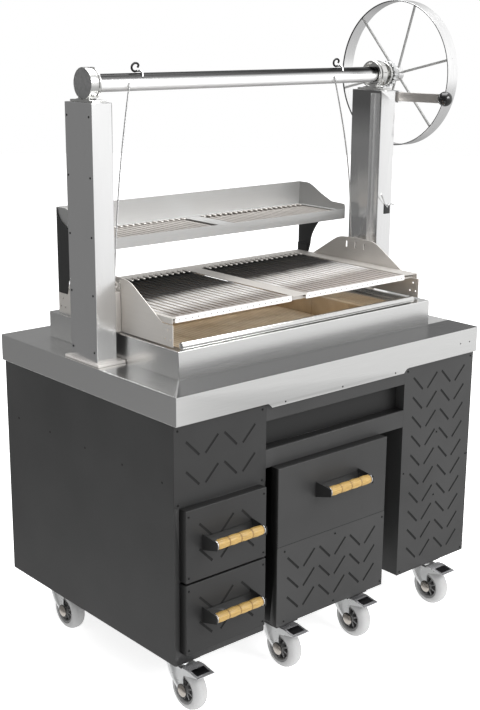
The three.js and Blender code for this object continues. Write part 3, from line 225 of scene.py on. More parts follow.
def dressed(node, material, edge, wide=6.0, angle=25):
    """A CAD node's own shape with its flat faces made whole and its long folded edges rounded: an edge is
    rounded where both faces beside it are wider than wide, so that cut sheet edges stay crisp."""
    source = frame["nodes"][node]
    shape = bmesh.new()
    shape.from_mesh(source.data)
    bmesh.ops.remove_doubles(shape, verts=shape.verts, dist=1e-5)
    bmesh.ops.dissolve_limit(shape, angle_limit=math.radians(1), verts=shape.verts, edges=shape.edges)
    mesh = bpy.data.meshes.new(node + "_skin")
    weight = shape.edges.layers.float.new("bevel_weight_edge")
    rounded = 0
    for rim in shape.edges:
        if len(rim.link_faces) != 2 or rim.calc_face_angle(0) < math.radians(25):
            continue
        across = [face.calc_area() / max(max(e.calc_length() for e in face.edges), 1e-6)
                  for face in rim.link_faces]
        if min(*across, rim.calc_length()) > wide * MM:
            rim[weight] = 1.0
            rounded += 1
    if rounded:
        bmesh.ops.triangulate(shape, faces=[face for face in shape.faces if len(face.verts) > 4])
    shape.to_mesh(mesh)
    shape.free()
    thing = finished(node + "_skin", mesh, material, source["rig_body"], angle)
    if edge and rounded:
        rounding = thing.modifiers.new("Folded edges", "BEVEL")
        rounding.limit_method = "WEIGHT"
        rounding.width = edge * MM
        rounding.segments = 2
        rounding.use_clamp_overlap = False
        rounding.harden_normals = True
    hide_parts(node)
    return thing


def engraved(thing, front):
    """Gives the strokes cut behind a front plane the coat's shadow, but not the sheet's outer edges."""
    mesh = thing.data
    mesh.materials.append(stroke_coat)
    places = np.array([tuple(face.center) for face in mesh.polygons]) / MM + SHIFT
    x, y, z = places.T
    inside = (x > x.min() + 1) & (x < x.max() - 1) & (z > z.min() + 1) & (z < z.max() - 1)
    cut = inside & (y > front + 0.3) & (y < front + 1.2)
    mesh.polygons.foreach_set("material_index", cut.astype(np.int32))


def screw(x, y, z, facing, radius, rise=1.6, material=0):
    """A domed screw head with a socket: its turned profile falls into the socket in the middle."""
    sign = -1 if facing[0] == "-" else 1
    dome = [(math.sin(a), 0.62 + 0.38 * math.cos(a)) for a in np.linspace(0, np.pi / 2, 4)]
    profile = [(0, 0), (0, 1), *dome, (1, 0.45), (0.35, 0.4), (0.35, 0)]
    return turned(np.array(profile) * [sign * rise, radius], (x, y, z), 12, material, axis=facing[1])


def bolt(x, y, z, radius, height, material):
    """A standing hexagon bolt head on a washer."""
    washer = [(0, 0), (0, radius * 1.5), (1.2, radius * 1.5), (1.2, 0)]
    head = [(0.5, 0), (0.5, radius), (height * 0.8, radius), (height, radius * 0.8), (height, 0)]
    return [turned(profile, (x, y, z), sides, material, axis="z")
            for profile, sides in ((washer, 18), (head, 6))]


def mirrored(parts):
    """Parts mirrored left to right about the middle of the worktop."""
    return [(points * [-1, 1, 1] + [WORKTOP_WIDTH, 0, 0], quads, number) for points, quads, number in parts]


def corners(node):
    """A CAD node's lowest and highest corners in millimetres of the drawing."""
    low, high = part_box(node)
    return np.array(low) / MM + SHIFT, np.array(high) / MM + SHIFT


def cuts(start, end, longest):
    """Even cuts from start to end, none further apart than longest."""
    return np.linspace(start, end, max(1, math.ceil((end - start) / longest)) + 1)


# Materials


# A noise pattern stays mostly between these two values
NOISE = (0.3, 0.7)
# Sockets of a Mix node set to colours
FACTOR, UNDER, OVER, MIXED = 0, 6, 7, 2


def linear(code):
    """An sRGB hex colour as linear red, green, blue and full alpha."""
    values = [int(code[i:i + 2], 16) / 255 for i in (1, 3, 5)]
    return (*[v / 12.92 if v <= 0.04045 else ((v + 0.055) / 1.055) ** 2.4 for v in values], 1.0)


def shades(colour, *factors):
    """A hex colour made darker or lighter by each factor."""
    tone = [int(colour[i:i + 2], 16) for i in (1, 3, 5)]
    return ["#%02x%02x%02x" % tuple(min(255, round(t * factor)) for t in tone) for factor in factors]


def fill(node, inputs):
    """Gives a node's sockets, in their order or by name or number, a value or a link from another node."""
    for key, given in inputs.items() if isinstance(inputs, dict) else enumerate(inputs):
        if isinstance(given, bpy.types.NodeSocket):
            node.id_data.links.new(given, node.inputs[key])
        else:
            node.inputs[key].default_value = given


def add(tree, kind, inputs=(), output=0, stops=(), **properties):
    """Adds a shader node with its sockets, its properties and, on a colour ramp, its stops of place and hex
    colour; returns one of its outputs."""
    made = tree.nodes.new("ShaderNode" + kind)
    for key, value in properties.items():
        setattr(made, key, value)
    fill(made, inputs)
    if stops:
        elements = made.color_ramp.elements
        elements[0].position, elements[1].position = stops[0][0], stops[-1][0]
        for place, _ in stops[1:-1]:
            elements.new(place)
        for element, (_, code) in zip(elements, stops):
            element.color = linear(code)
    return made.outputs[output] if len(made.outputs) else made


def finish(tree, **sockets):
    """Sets or links sockets of a material's own shader; a name's spaces are written as underscores."""
    fill(tree.nodes["Principled BSDF"], {key.replace("_", " "): value for key, value in sockets.items()})


def material(name, **sockets):
    """A new node material with its shader's sockets set; returns it, its tree and its object coordinates."""
    made = bpy.data.materials.new(name)
    made.use_nodes = True
    finish(made.node_tree, **sockets)
    return made, made.node_tree, add(made.node_tree, "TexCoord", output="Object")


def drawn_out(tree, point, scales, detail=3.0, roughness=0.55):
    """Noise with a scale of its own along each axis, so that it draws out into lines, rings or wisps."""
    stretched = add(tree, "Mapping", {"Vector": point, "Scale": scales})
    return add(tree, "TexNoise", {"Vector": stretched, "Scale": 1.0, "Detail": detail,
                                  "Roughness": roughness})


def textured(made, pattern, tones, rough, depth, strength, clouds=None):
    """Lets one pattern vary a finish: its tone, its roughness and, as a bump of a depth in metres, its
    surface. Clouds, where given, vary the tone instead."""
    tree = made.node_tree
    finish(tree, Base_Color=add(tree, "ValToRGB", [clouds or pattern], stops=list(zip(NOISE, tones))),
           Roughness=add(tree, "MapRange", (pattern, *NOISE, *rough)),
           Normal=add(tree, "Bump", {"Height": pattern, "Distance": depth, "Strength": strength}))


def mixed_in(made, factor, colour, metallic):
    """Lays a second colour and metal share over a finished material where factor is 1."""
    tree = made.node_tree
    shader = tree.nodes["Principled BSDF"]
    under = shader.inputs["Base Color"].links[0].from_socket
    metal = shader.inputs["Metallic"].default_value
    both = {FACTOR: factor, UNDER: under, OVER: linear(colour)}
    finish(tree, Base_Color=add(tree, "Mix", both, MIXED, data_type="RGBA"),
           Metallic=add(tree, "MapRange", (factor, 0.0, 1.0, metal, metallic)))


def between(made, axis, start, end, low=0.0, high=1.0):
    """A number that goes from low to high as the object's place along the axis goes from start to end."""
    tree = made.node_tree
    place = add(tree, "SeparateXYZ", [add(tree, "TexCoord", output="Object")], axis)
    return add(tree, "MapRange", (place, start, end, low, high))


def brushed_stainless(name, along, light, dark, rough=0.24, metallic=1.0):
    """304 stainless sheet with a fine belt finish: from a step away it is smooth and satin, and its faint
    parallel lines only draw highlights out a little across them."""
    made, tree, point = material(name, Metallic=metallic)
    lines = drawn_out(tree, point, [9 if a else 700 for a in along], 4.0, 0.6)
    textured(made, lines, (dark, light), (rough - 0.02, rough + 0.03), 0.000005, 0.12)
    return made


def worktop_sheet(name):
    """Brushed sheet with a painted dark reflection: a flat strip before the firebox and the right end of the
    top are mixed to an even mid grey that mirrors little."""
    made = brushed_stainless(name, (1, 0, 0), "#f5f5f4", "#eeeeed")
    tree = made.node_tree
    strip = between(made, "Y", -0.262, -0.274)
    # The strip of painted dark reflection ends at the left along a slanted line
    slant = add(tree, "VectorMath", (add(tree, "TexCoord", output="Object"), (1.17, -1.0, 0.0)), "Value",
                operation="DOT_PRODUCT")
    across = add(tree, "MapRange", (slant, -0.3685, -0.3585))
    front = add(tree, "Math", (strip, across), operation="MULTIPLY")
    # The right end of the top is painted darker too, as painted dark reflection
    either = add(tree, "Math", (front, between(made, "X", 0.44, 0.47, 0.0, 0.46)), operation="MAXIMUM")
    painted_dark_reflection = add(tree, "Math", (between(made, "Z", 0.8944, 0.8954), either), operation="MULTIPLY")
    mixed_in(made, painted_dark_reflection, "#424242", 0.05)
    finish(tree, Specular_IOR_Level=add(tree, "MapRange", (painted_dark_reflection, 0.0, 1.0, 0.5, 0.05)))
    return made


def post_sheet(name):
    """Brushed sheet of the posts, with painted light: their base plates are painted pale, as a painted
    reflection, and the top of the faces that look at the fire is painted darker, as painted shade."""
    made = brushed_stainless(name, (0, 0, 1), "#f8f8f8", "#f1f1f1")
    tree = made.node_tree
    aside = add(tree, "Math", [between(made, "X", -1.043, 0.957, -1.0, 1.0)], operation="ABSOLUTE")
    inner = add(tree, "MapRange", (aside, 0.5205, 0.5212, 1.0, 0.0))
    # Painted shade: the inner faces darken towards their top
    inner_painted_shade = add(tree, "Math", (inner, between(made, "Z", 1.45, 1.56, 0.35)), operation="MULTIPLY")
    mixed_in(made, inner_painted_shade, "#9c9c9c", 1.0)
    # Painted reflection: the base plates are pale and little metallic
    mixed_in(made, between(made, "Z", 0.9052, 0.9046), "#e2deda", 0.2)
    return made


# Scales of the faint rings of about 2 mm that drawing and turning leave round a bar
DRAWN_RINGS = (420, 30, 30)


def turned_steel(name, light="#e9e9e7", dark="#dededc", rough=0.15):
    """Bright drawn steel bar and tube: smooth, with the faintest rings from drawing and turning."""
    made, tree, point = material(name, Metallic=1.0)
    rings = drawn_out(tree, point, DRAWN_RINGS)
    textured(made, rings, (dark, light), (rough - 0.02, rough + 0.03), 0.000003, 0.15)
    return made


def shaft_steel(name):
    """Drawn tube with a painted reflection in bands by height: painted dark along its top, painted pale on
    its lower side and grey underneath, and less metallic below its middle."""
    made, tree, point = material(name)
    rings = drawn_out(tree, point, DRAWN_RINGS)
    # Painted reflection and shade, in bands by height
    painted_reflection_bands = [(0.0, "#8c8c8c"), (0.13, "#9c9c9c"), (0.2, "#bababa"), (0.28, "#dadada"), (0.38, "#f3f3f3"),
            (0.6, "#f3f3f3"), (0.67, "#cccccc"), (0.72, "#a2a2a2"), (0.767, "#636363"), (0.814, "#2e2e2e"),
            (0.86, "#131313"), (1.0, "#0f0f0f")]
    height = between(made, "Z", 1.629, 1.677)
    finish(tree, Base_Color=add(tree, "ValToRGB", [height], stops=painted_reflection_bands),
           Metallic=add(tree, "MapRange", (height, 0.5, 0.6, 0.15, 1.0)),
           Roughness=add(tree, "MapRange", (rings, *NOISE, 0.18, 0.23)),
           Normal=add(tree, "Bump", {"Height": rings, "Distance": 0.000003, "Strength": 0.15}))
    return made


def powder_coat(name, colour="#323232"):
    """Fine-textured polyester powder coat on steel: a low, even orange peel of about 1.5 mm that softens
    every highlight, with a slightly worn sheen."""
    made, tree, point = material(name, IOR=1.5, Specular_IOR_Level=0.5)
    peel = add(tree, "TexNoise", {"Vector": point, "Scale": 700.0, "Detail": 2.0, "Roughness": 0.55})
    clouds = add(tree, "TexNoise", {"Vector": point, "Scale": 4.0, "Detail": 3.0, "Roughness": 0.55})
    textured(made, peel, shades(colour, 0.93, 1.06), (0.37, 0.49), 0.00005, 0.7, clouds)
    return made


def shaded_coat(name, front, back, colour="#323232"):
    """The same coat where it runs back into the grill, with painted shade: it is darker between its front
    plane and its back face, both in metres."""
    made = powder_coat(name, colour)
    behind = between(made, "Y", front + 0.002, front + 0.012)
    before = between(made, "Y", back - 0.001, back - 0.0006, 1.0, 0.0)
    # Painted shade between the front plane and the back face
    mixed_in(made, add(made.node_tree, "Math", (behind, before), operation="MULTIPLY"), "#121212", 0.0)
    return made


def firebrick(name):
    """Pressed fireclay brick: tan, matt and gritty, with wire-cut ribs 15 mm apart and darker between them.
    """
    made, tree, point = material(name, Roughness=0.9, Specular_IOR_Level=0.3)
    grit = add(tree, "TexNoise", {"Vector": point, "Scale": 260.0, "Detail": 5.0, "Roughness": 0.65})
    clouds = add(tree, "TexNoise", {"Vector": point, "Scale": 9.0, "Detail": 4.0, "Roughness": 0.55})
    mixed = add(tree, "Math", (grit, 0.35, clouds), operation="MULTIPLY_ADD")
    clay = add(tree, "ValToRGB", [mixed], stops=[(0.45, "#d9c3a2"), (0.68, "#e9d5b7"), (0.9, "#f4e4cb")])
    ribs = add(tree, "TexWave", {"Vector": point, "Scale": 2 * math.pi / 20 / 0.015, "Distortion": 0.5,
                                 "Detail": 1.0}, "Fac", bands_direction="X")
    rib_darkening = add(tree, "ValToRGB", [ribs], stops=[(0.0, "#a8957a"), (0.5, "#ffffff")])
    height = add(tree, "Math", (grit, 0.35, ribs), operation="MULTIPLY_ADD")
    both = {FACTOR: 0.35, UNDER: clay, OVER: rib_darkening}
    finish(tree, Base_Color=add(tree, "Mix", both, MIXED, data_type="RGBA", blend_type="MULTIPLY"),
           Normal=add(tree, "Bump", {"Height": height, "Distance": 0.0008, "Strength": 0.6}))
    return made


def bamboo(name):
    """Varnished bamboo turned to a grip: honey coloured, long pale fibres, darker rings at the knots."""
    made, tree, point = material(name, Roughness=0.42, Coat_Weight=0.25, Coat_Roughness=0.25)
    fibres = drawn_out(tree, point, (18, 700, 700), 4.0, 0.6)
    wood = add(tree, "ValToRGB", [fibres], stops=[(0.3, "#8f7138"), (0.52, "#aa8b4c"), (0.75, "#bd9e60")])
    knots = add(tree, "Attribute", output="Fac", attribute_name="ring")
    both = {FACTOR: knots, UNDER: wood, OVER: linear("#6b4c1c")}
    finish(tree, Base_Color=add(tree, "Mix", both, MIXED, data_type="RGBA"),
           Normal=add(tree, "Bump", {"Height": fibres, "Distance": 0.00015, "Strength": 0.6}))
    return made


def channel_tint_and_painted_light(name):
    """Stainless V channel that has seen fire: grey with a breath of straw in soft wisps along the channel,
    with
    painted light over it: painted shade darkest at the rear, a painted highlight band across the middle that
    shifts from left to right, and the front flange painted nearly white as a painted highlight."""
    made, tree, point = material(name, Metallic=0.75)
    wisps = drawn_out(tree, point, (60, 7, 60))
    place = add(tree, "Math", (between(made, "Y", -0.23, 0.26), between(made, "X", -0.5, 0.4, 0.06, -0.12)))
    shifted = add(tree, "Math", (wisps, 0.12, place), operation="MULTIPLY_ADD")
    tint_and_painted_light_bands = [(0.03, "#bab4b0"), (0.22, "#aca6a2"), (0.36, "#ebeae9"), (0.52, "#e0dfde"), (0.62, "#5a5a5a"),
             (1.0, "#343434")]
    finish(tree, Base_Color=add(tree, "ValToRGB", [shifted], stops=tint_and_painted_light_bands),
           Roughness=add(tree, "MapRange", (wisps, *NOISE, 0.46, 0.56)))
    # Painted highlight: the front flange nearly white
    mixed_in(made, between(made, "Y", -0.2215, -0.2195, 1.0, 0.0), "#f2f0ee", 0.3)
    return made


def plain(name, colour, rough, metallic=0.0, grain=300.0, depth=0.00003, spread=0.06, **more):
    """A moulded, plated or rolled surface of one colour: slight clouding in tone and roughness and a fine
    bump, all from the same noise."""
    made, tree, point = material(name, Metallic=metallic, **more)
    speck = add(tree, "TexNoise", {"Vector": point, "Scale": grain, "Detail": 3.0, "Roughness": 0.55})
    textured(made, speck, shades(colour, 1 - spread, 1 + spread), (rough - 0.05, rough + 0.06), depth, 0.5)
    return made


post_steel = post_sheet("stainless_posts")
firebox_steel = brushed_stainless("stainless_firebox", (1, 0, 0), "#f6f6f5", "#f0f0ef")
table_steel = worktop_sheet("stainless_worktop")
# Shelf sheet: bead blasted, so it scatters and shows one even light grey
shelf_steel = brushed_stainless("stainless_blasted", (1, 0, 0), "#bcbcbb", "#b6b6b5", 0.5, 0.85)
# Carriage plates: blasted too, and warm from the fire
warm_steel = brushed_stainless("stainless_blasted_warm", (0, 1, 0), "#d9d5d0", "#d3cfca", 0.42, 0.6)
tube_steel = shaft_steel("steel_drawn_tube")
# Flat bar of the lever: mill finish, greyer than the sheet
lever_steel = brushed_stainless("stainless_flat_bar", (0, 1, 0), "#b3afab", "#aaa6a2", 0.35, 0.8)
# Spoke rods are cold drawn and unpolished, so greyer than the wheel's strip
rod_steel = plain("steel_cold_drawn_rod", "#a2a2a1", 0.4, 0.3)
strip_steel = turned_steel("steel_rolled_strip", "#ffffff", "#f6f6f6", 0.2)
# The rim's face towards the grill and its corners there are painted dark, as painted shade
edge_steel = plain("steel_cut_edge", "#2b2b2b", 0.45, 0.4)
bright_bar = turned_steel("steel_drawn_bar")
coat = powder_coat("steel_powder_coated")
bay_coat = shaded_coat("steel_powder_coated_bay", -0.377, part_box("bay_frame")[1][1])
# The cart's coat is painted a little darker and the drawers' darker still, as painted shade towards the left
cart_coat = shaded_coat("steel_powder_coated_cart", -0.406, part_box("cart_body")[1][1], "#2f2f2f")
drawer_coat = shaded_coat("steel_powder_coated_drawers", -0.406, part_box("upper_drawer")[1][1], "#282828")
# The left panel's coat is painted darker, as painted shade on the left of the cabinet, like the drawers
# below it
left_panel_shaded_coat = powder_coat("steel_powder_coated_left_shade", "#282828")
fireclay = firebrick("fireclay_brick")
cane = bamboo("bamboo_varnished")
channel_steel = channel_tint_and_painted_light("stainless_heat_tint_painted_light")
# Shelf channels: far from the fire, so only dulled
clean_channel = brushed_stainless("stainless_channel", (0, 1, 0), "#bdb8b3", "#b2ada8", 0.45, 0.6)
# Satin black enamel on folded strip: an even sheen with hardly any grain
black_enamel = plain("steel_black_enamel", "#242424", 0.4, IOR=1.5)
# Zinc plate on pressed steel: pale, blue-grey and softly mirrored, with faint clouding
zinc_plate = plain("steel_zinc_plated", "#e6e7e7", 0.3, 0.9, 60.0, 0.0000008, 0.01)
# Chrome plate on the pedals: bright, and hardly clouded
chrome_plate = plain("steel_chrome_plated", "#ececef", 0.22, 0.85, 40.0, 0.000001, 0.01)
# The pedals' treads: chrome painted dark, as a painted reflection of the dark underside of the cabinet
tread_chrome = plain("steel_chrome_painted_reflection", "#3b3b3e", 0.2, 0.9, 40.0, 0.000001)
# Grey rubber tread: matt, and a little dusty
tread_rubber = plain("rubber_tread_grey", "#b0b0b0", 0.62, 0.0, 500.0, 0.00004, 0.03)
# Polyamide wheel core: smooth mid-grey moulding
core_nylon = plain("nylon_core_grey", "#7c7c7c", 0.45, 0.0, 200.0)
core_shade = plain("nylon_core_recess", "#262626", 0.6, 0.0, 200.0)
# Pressed axle cap: nickel plated, so a little warmer than the zinc round it
cap_steel = plain("steel_cap_nickel", "#cfc8c0", 0.22, 1.0, 60.0, 0.000006, 0.03)
# Phenolic ball: deep black and polished, so it mirrors the lights
ball_phenolic = plain("phenolic_black_polished", "#0b0b0b", 0.09, 0.0, 30.0, 0.000004, Coat_Weight=0.6,
                      Coat_Roughness=0.04)
# Shadow in a cut stroke or seam: the same coat, where hardly any light gets in
stroke_coat = plain("steel_coat_in_strokes", "#0b0b0b", 0.7, 0.0, 500.0)
# Black oxide on screws: dark with a dull metal glint
black_oxide = plain("steel_black_oxide", "#1d1d1d", 0.38, 0.5)
# Stainless screw heads: bright, so that they read as light points on the black coat
screw_steel = plain("stainless_screw", "#d6d6d6", 0.22, 1.0, 90.0)
# Wire rope: dull grey drawn strands
rope_steel = plain("steel_wire_rope", "#c6c6c6", 0.3, 1.0, 400.0)
# Machined disc face: fine turning marks leave it a dull mid grey
disc_steel = plain("steel_disc_turned", "#8f8f8f", 0.38, 0.6, 150.0)


# Sizes and colours a user would change


class SheetSettings(bpy.types.PropertyGroup):
    """Folded sheet pieces and their screws"""
    fold: FloatProperty(name="Fold radius", description="Outer radius of folded edges, in millimetres",
                        default=1.8, min=0.2, max=4.0)
    screw: FloatProperty(name="Screw radius", description="Radius of the screw heads, in millimetres",
                         default=3.4, min=1.0, max=8.0)


class LiftSettings(bpy.types.PropertyGroup):
    """Shaft, wheel and cables"""
    spoke: FloatProperty(name="Spoke radius", description="Radius of the wheel's spokes, in millimetres",
                         default=4.0, min=1.0, max=8.0)
    rope: FloatProperty(name="Cable radius", description="Radius of the lifting cables, in millimetres",
                        default=2.3, min=0.5, max=4.0)
    lay: FloatProperty(name="Lay", description="Length of one turn of a cable's strands, in millimetres",
                       default=26.0, min=5.0, max=80.0)


class FireSettings(bpy.types.PropertyGroup):
    """Brick lining of the fire bed"""
    length: FloatProperty(name="Brick length", description="Longest brick, in millimetres",
                          default=230.0, min=60.0)
    width: FloatProperty(name="Brick width", description="Widest floor brick, in millimetres",
                         default=114.0, min=40.0)
    joint: FloatProperty(name="Joint", description="Gap between bricks, in millimetres",
                         default=1.6, min=0.2, max=6.0)


class CastorSettings(bpy.types.PropertyGroup):
    """Wheels under the cabinet and the cart"""
    spokes: IntProperty(name="Spokes", description="Spokes of a wheel's core", default=9, min=3, max=20)


class StageSettings(bpy.types.PropertyGroup):
    """Floor, light and camera"""
    floor: FloatVectorProperty(name="Floor", description="Colour of the floor", subtype="COLOR", size=3,
                               default=(0.93, 0.93, 0.93), min=0.0, max=1.0)
    key: FloatProperty(name="Key light", description="Strength of the key light, in watts", default=140.0,
                       min=0.0)
    sky: FloatProperty(name="Soft light", description="Strength of the light from all round", default=1.0,
                       min=0.0)


# Stage


def studio_sky(world, strength):
    """A white tent, open behind: bright in front to the right, dark behind to the left and dimmer towards
    the floor, so that steel turned to the front shines and steel turned aside stays grey. Far down behind it
    is pale, as the floor is there. The camera sees plain white."""
    world.use_nodes = True
    tree = world.node_tree
    tree.nodes.clear()
    way = add(tree, "TexCoord", output="Generated")
    height = add(tree, "SeparateXYZ", [way], "Z")
    facing = add(tree, "VectorMath", (way, (0.75, -0.66, 0.0)), "Value", operation="DOT_PRODUCT")
    tent = add(tree, "ValToRGB", [add(tree, "MapRange", (facing, -1.0, 1.0))], stops=[
        (0.0, "#7c7c7c"), (0.475, "#818181"), (0.525, "#959595"), (0.575, "#bcbcbc"), (0.7, "#eeeeee"),
        (1.0, "#ffffff")])
    front = add(tree, "MapRange", (facing, -0.1, 0.2))
    dimmer = add(tree, "ValToRGB", [add(tree, "MapRange", (height, -0.6, -0.1))], stops=[
        (0.0, "#c4c4c4"), (0.6, "#d2d2d2"), (1.0, "#ffffff")])
    behind = add(tree, "Math", (1.0, front), operation="SUBTRACT")
    below = add(tree, "MapRange", (height, -0.42, -0.48))
    low = add(tree, "Math", (behind, below), operation="MULTIPLY")
    roof = add(tree, "MapRange", (height, 0.5, 0.95))
    shade = add(tree, "Mix", {FACTOR: front, UNDER: tent, OVER: dimmer}, MIXED, data_type="RGBA",
                blend_type="MULTIPLY")
    for factor, colour in ((low, "#eeeeee"), (roof, "#f6f6f6")):
        both = {FACTOR: factor, UNDER: shade, OVER: linear(colour)}
        shade = add(tree, "Mix", both, MIXED, data_type="RGBA")
    around = add(tree, "Background", (shade, strength))
    seen = add(tree, "Background", (linear("#ffffff"), 1.0))
    camera = add(tree, "LightPath", output="Is Camera Ray")
    add(tree, "OutputWorld", [add(tree, "MixShader", (camera, around, seen))])


def area_light(name, place, target, size, watts):
    """A soft box at place that faces target; sizes in metres."""
    lamp = bpy.data.lights.new(name, "AREA")
    lamp.shape, lamp.size, lamp.size_y, lamp.energy = "RECTANGLE", size[0], size[1], watts
    thing = bpy.data.objects.new(name, lamp)
    thing.location = place
    thing.rotation_euler = (Vector(target) - Vector(place)).to_track_quat("-Z", "Y").to_euler()
    bpy.context.scene.collection.objects.link(thing)


class GRILL_OT_stage(bpy.types.Operator):
    """Sets the camera at the photograph's angle over a pale floor in soft studio light"""
    bl_idname = "grill.stage"
    bl_label = "Stage"

    def execute(self, context):
        settings = context.scene.grill_stage
        lens = bpy.data.cameras.new("photo_view")
        lens.sensor_fit, lens.sensor_height, lens.lens = "VERTICAL", 36.0, 62.867
        lens.clip_end = 60.0
        view = bpy.data.objects.new("photo_view", lens)
        right = Vector((0.75588486, -0.65466699, 0.00701515))
        up = Vector((0.16536552, 0.20127828, 0.96547465))
        toward = Vector((-0.63347638, -0.7286276, 0.26040256))
        turn = Matrix((right, up, toward)).transposed().to_4x4()
        view.matrix_world = Matrix.Translation((-2.483002, -2.750392, 1.816004)) @ turn
        context.scene.collection.objects.link(view)
        context.scene.camera = view
        context.scene.view_settings.view_transform = "Standard"
        context.scene.world = bpy.data.worlds.new("studio")
        studio_sky(context.scene.world, settings.sky)
        angle = np.linspace(0, 2 * np.pi, 96, endpoint=False)
        radius = np.array([[0.0, 0.5, 1, 2, 4, 8, 14]]).T / MM
        disc = np.stack([radius * np.cos(angle), radius * np.sin(angle), radius * 0 * angle], -1) + SHIFT
        pale, tree, point = material("studio_floor_paint", Roughness=0.8, Specular_IOR_Level=0.2,
                                     Emission_Color=(1, 1, 1, 1), Emission_Strength=0.8)
        patches = add(tree, "TexNoise", {"Vector": point, "Scale": 3.0, "Detail": 2.0, "Roughness": 0.55})
        blend = add(tree, "MapRange", (patches, *NOISE))
        tones = [(*[part * share for part in settings.floor], 1.0) for share in (0.985, 1.0)]
        both = {FACTOR: blend, UNDER: tones[0], OVER: tones[1]}
        finish(tree, Base_Color=add(tree, "Mix", both, MIXED, data_type="RGBA"))
        floor = built("studio_floor", [surface(disc, around=True)], pale, None, keep_open=True)
        floor.visible_glossy = False
        area_light("front_soft_box", (0.7, -4.2, 3.4), (0, 0, 0.8), (3.0, 2.0), settings.key)
        area_light("top_soft_box", (0.4, 0.2, 4.2), (0, 0, 0.8), (3.0, 3.0), settings.key * 0.8)
        return {"FINISHED"}


# Cabinet


class GRILL_OT_worktop(bpy.types.Operator):
    """Worktop tray of folded stainless sheet, with its screwed front lip"""
    bl_idname = "grill.worktop"
    bl_label = "Worktop"

    def execute(self, context):
        sheet = context.scene.grill_sheet
        dressed("worktop", table_steel, sheet.fold)
        places = [(380, 804, 0.8), (602, 804, 0.8), (824, 804, 0.8), (1120, 845, 0.7), (1163, 845, 0.7)]
        parts = [screw(x, -0.1, z, "-y", sheet.screw * share, 0.1) for x, z, share in places]
        built("worktop_screws", parts, black_oxide, "cabinet")
        return {"FINISHED"}


class GRILL_OT_columns(bpy.types.Operator):
    """Powder-coated columns, bay and engraved front panels, with their panel screws"""
    bl_idname = "grill.columns"
    bl_label = "Columns and panels"

    def execute(self, context):
        sheet = context.scene.grill_sheet
        for node, paint in (("left_column", coat), ("right_column", coat), ("bay_frame", bay_coat)):
            dressed(node, paint, sheet.fold)
        for node, paint in (("left_decor_panel", left_panel_shaded_coat), ("right_decor_panel", coat)):
            engraved(dressed(node, paint, sheet.fold * 0.5, wide=8.0, angle=3), PANEL_FRONT)
        places = [(14, 793), (306, 793), (14, 590), (306, 590), (893.7, 793), (1187, 793), (892.8, 467),
                  (1188, 467), (1039.7, 572), (1039.2, 363), (892.8, 140.5), (1187.5, 140.5)]
        parts = [screw(x, PANEL_FRONT, z, "-y", sheet.screw) for x, z in places]
        side = [screw(0.5, y, 642, "-x", sheet.screw, 0.4, 1) for y in (62, 240, 419, 600, 773)]
        parts += side + mirrored(side)
        built("panel_screws", parts, [black_oxide, stroke_coat], "cabinet")
        return {"FINISHED"}


class GRILL_OT_firebox(bpy.types.Operator):
    """Stainless firebox with its round front bar, and the ribbed firebricks laid in it"""
    bl_idname = "grill.firebox"
    bl_label = "Firebox and bricks"

    def execute(self, context):
        fire = context.scene.grill_fire
        dressed("firebox", firebox_steel, context.scene.grill_sheet.fold)
        low, high = corners("firebox_lip_bar")
        radius = (high[2] - low[2]) / 2
        ends = [(low[0], 0), (low[0], radius - 2), (low[0] + 0.8, radius - 0.5), (low[0] + 2, radius)]
        profile = ends + [(low[0] + high[0] - place, r) for place, r in reversed(ends)]
        rod = turned(profile, (low + high) / 2 * [0, 1, 1], 24)
        bar_piece = built("firebox_bar", [rod], bright_bar, "cabinet")
        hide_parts("firebox_lip_bar")
        low, high = corners("brick_bed")
        thick, half, edge = 22.0, fire.joint / 2, 1.6
        parts = []
        # The floor's courses break joint; the linings stand round them
        across = cuts(low[0] + thick, high[0] - thick, fire.length)
        shifted = [across[0], *(across[:-1] + across[1:]) / 2, across[-1]]
        for k, (y0, y1) in enumerate(pairwise(cuts(low[1] + thick, high[1] - thick, fire.width))):
            for x0, x1 in pairwise(shifted if k % 2 else across):
                near, far = (x0 + half, y0 + half, low[2]), (x1 - half, y1 - half, low[2] + thick)
                parts.append(bar(near, far, edge))
        for y0 in (low[1], high[1] - thick):
            for x0, x1 in pairwise(cuts(low[0], high[0], fire.length)):
                parts.append(bar((x0 + half, y0, low[2]), (x1 - half, y0 + thick, high[2]), edge))
        for x0 in (low[0], high[0] - thick):
            for y0, y1 in pairwise(cuts(low[1] + thick, high[1] - thick, fire.length)):
                parts.append(bar((x0, y0 + half, low[2]), (x0 + thick, y1 - half, high[2]), edge))
        bricks = built("firebrick_lining", parts, fireclay, "cabinet")
        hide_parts("brick_bed")
        return {"FINISHED"}


# Posts and lift


class GRILL_OT_posts(bpy.types.Operator):
    """Box posts, with the screws that hold the guide channels in them"""
    bl_idname = "grill.posts"
    bl_label = "Posts"

    def execute(self, context):
        sheet = context.scene.grill_sheet
        for node in ("left_post", "right_post"):
            dressed(node, post_steel, sheet.fold * 0.7, wide=5.0)
        heights = 923.5 + 159.5 * np.arange(5)
        parts = [screw(16, y, z, "-x", sheet.screw, 0.8) for y in (383, 487) for z in heights]
        built("post_screws", parts + mirrored(parts), black_oxide, "cabinet")
        # A white strip on each channel's rear wall stands in for the light there: painted highlight
        strip = [bar((66, 414.2, 956), (80.8, 414.9, 1587), 0.3)]
        built("channel_highlight_strips", strip + mirrored(strip), strip_steel, "cabinet")
        return {"FINISHED"}


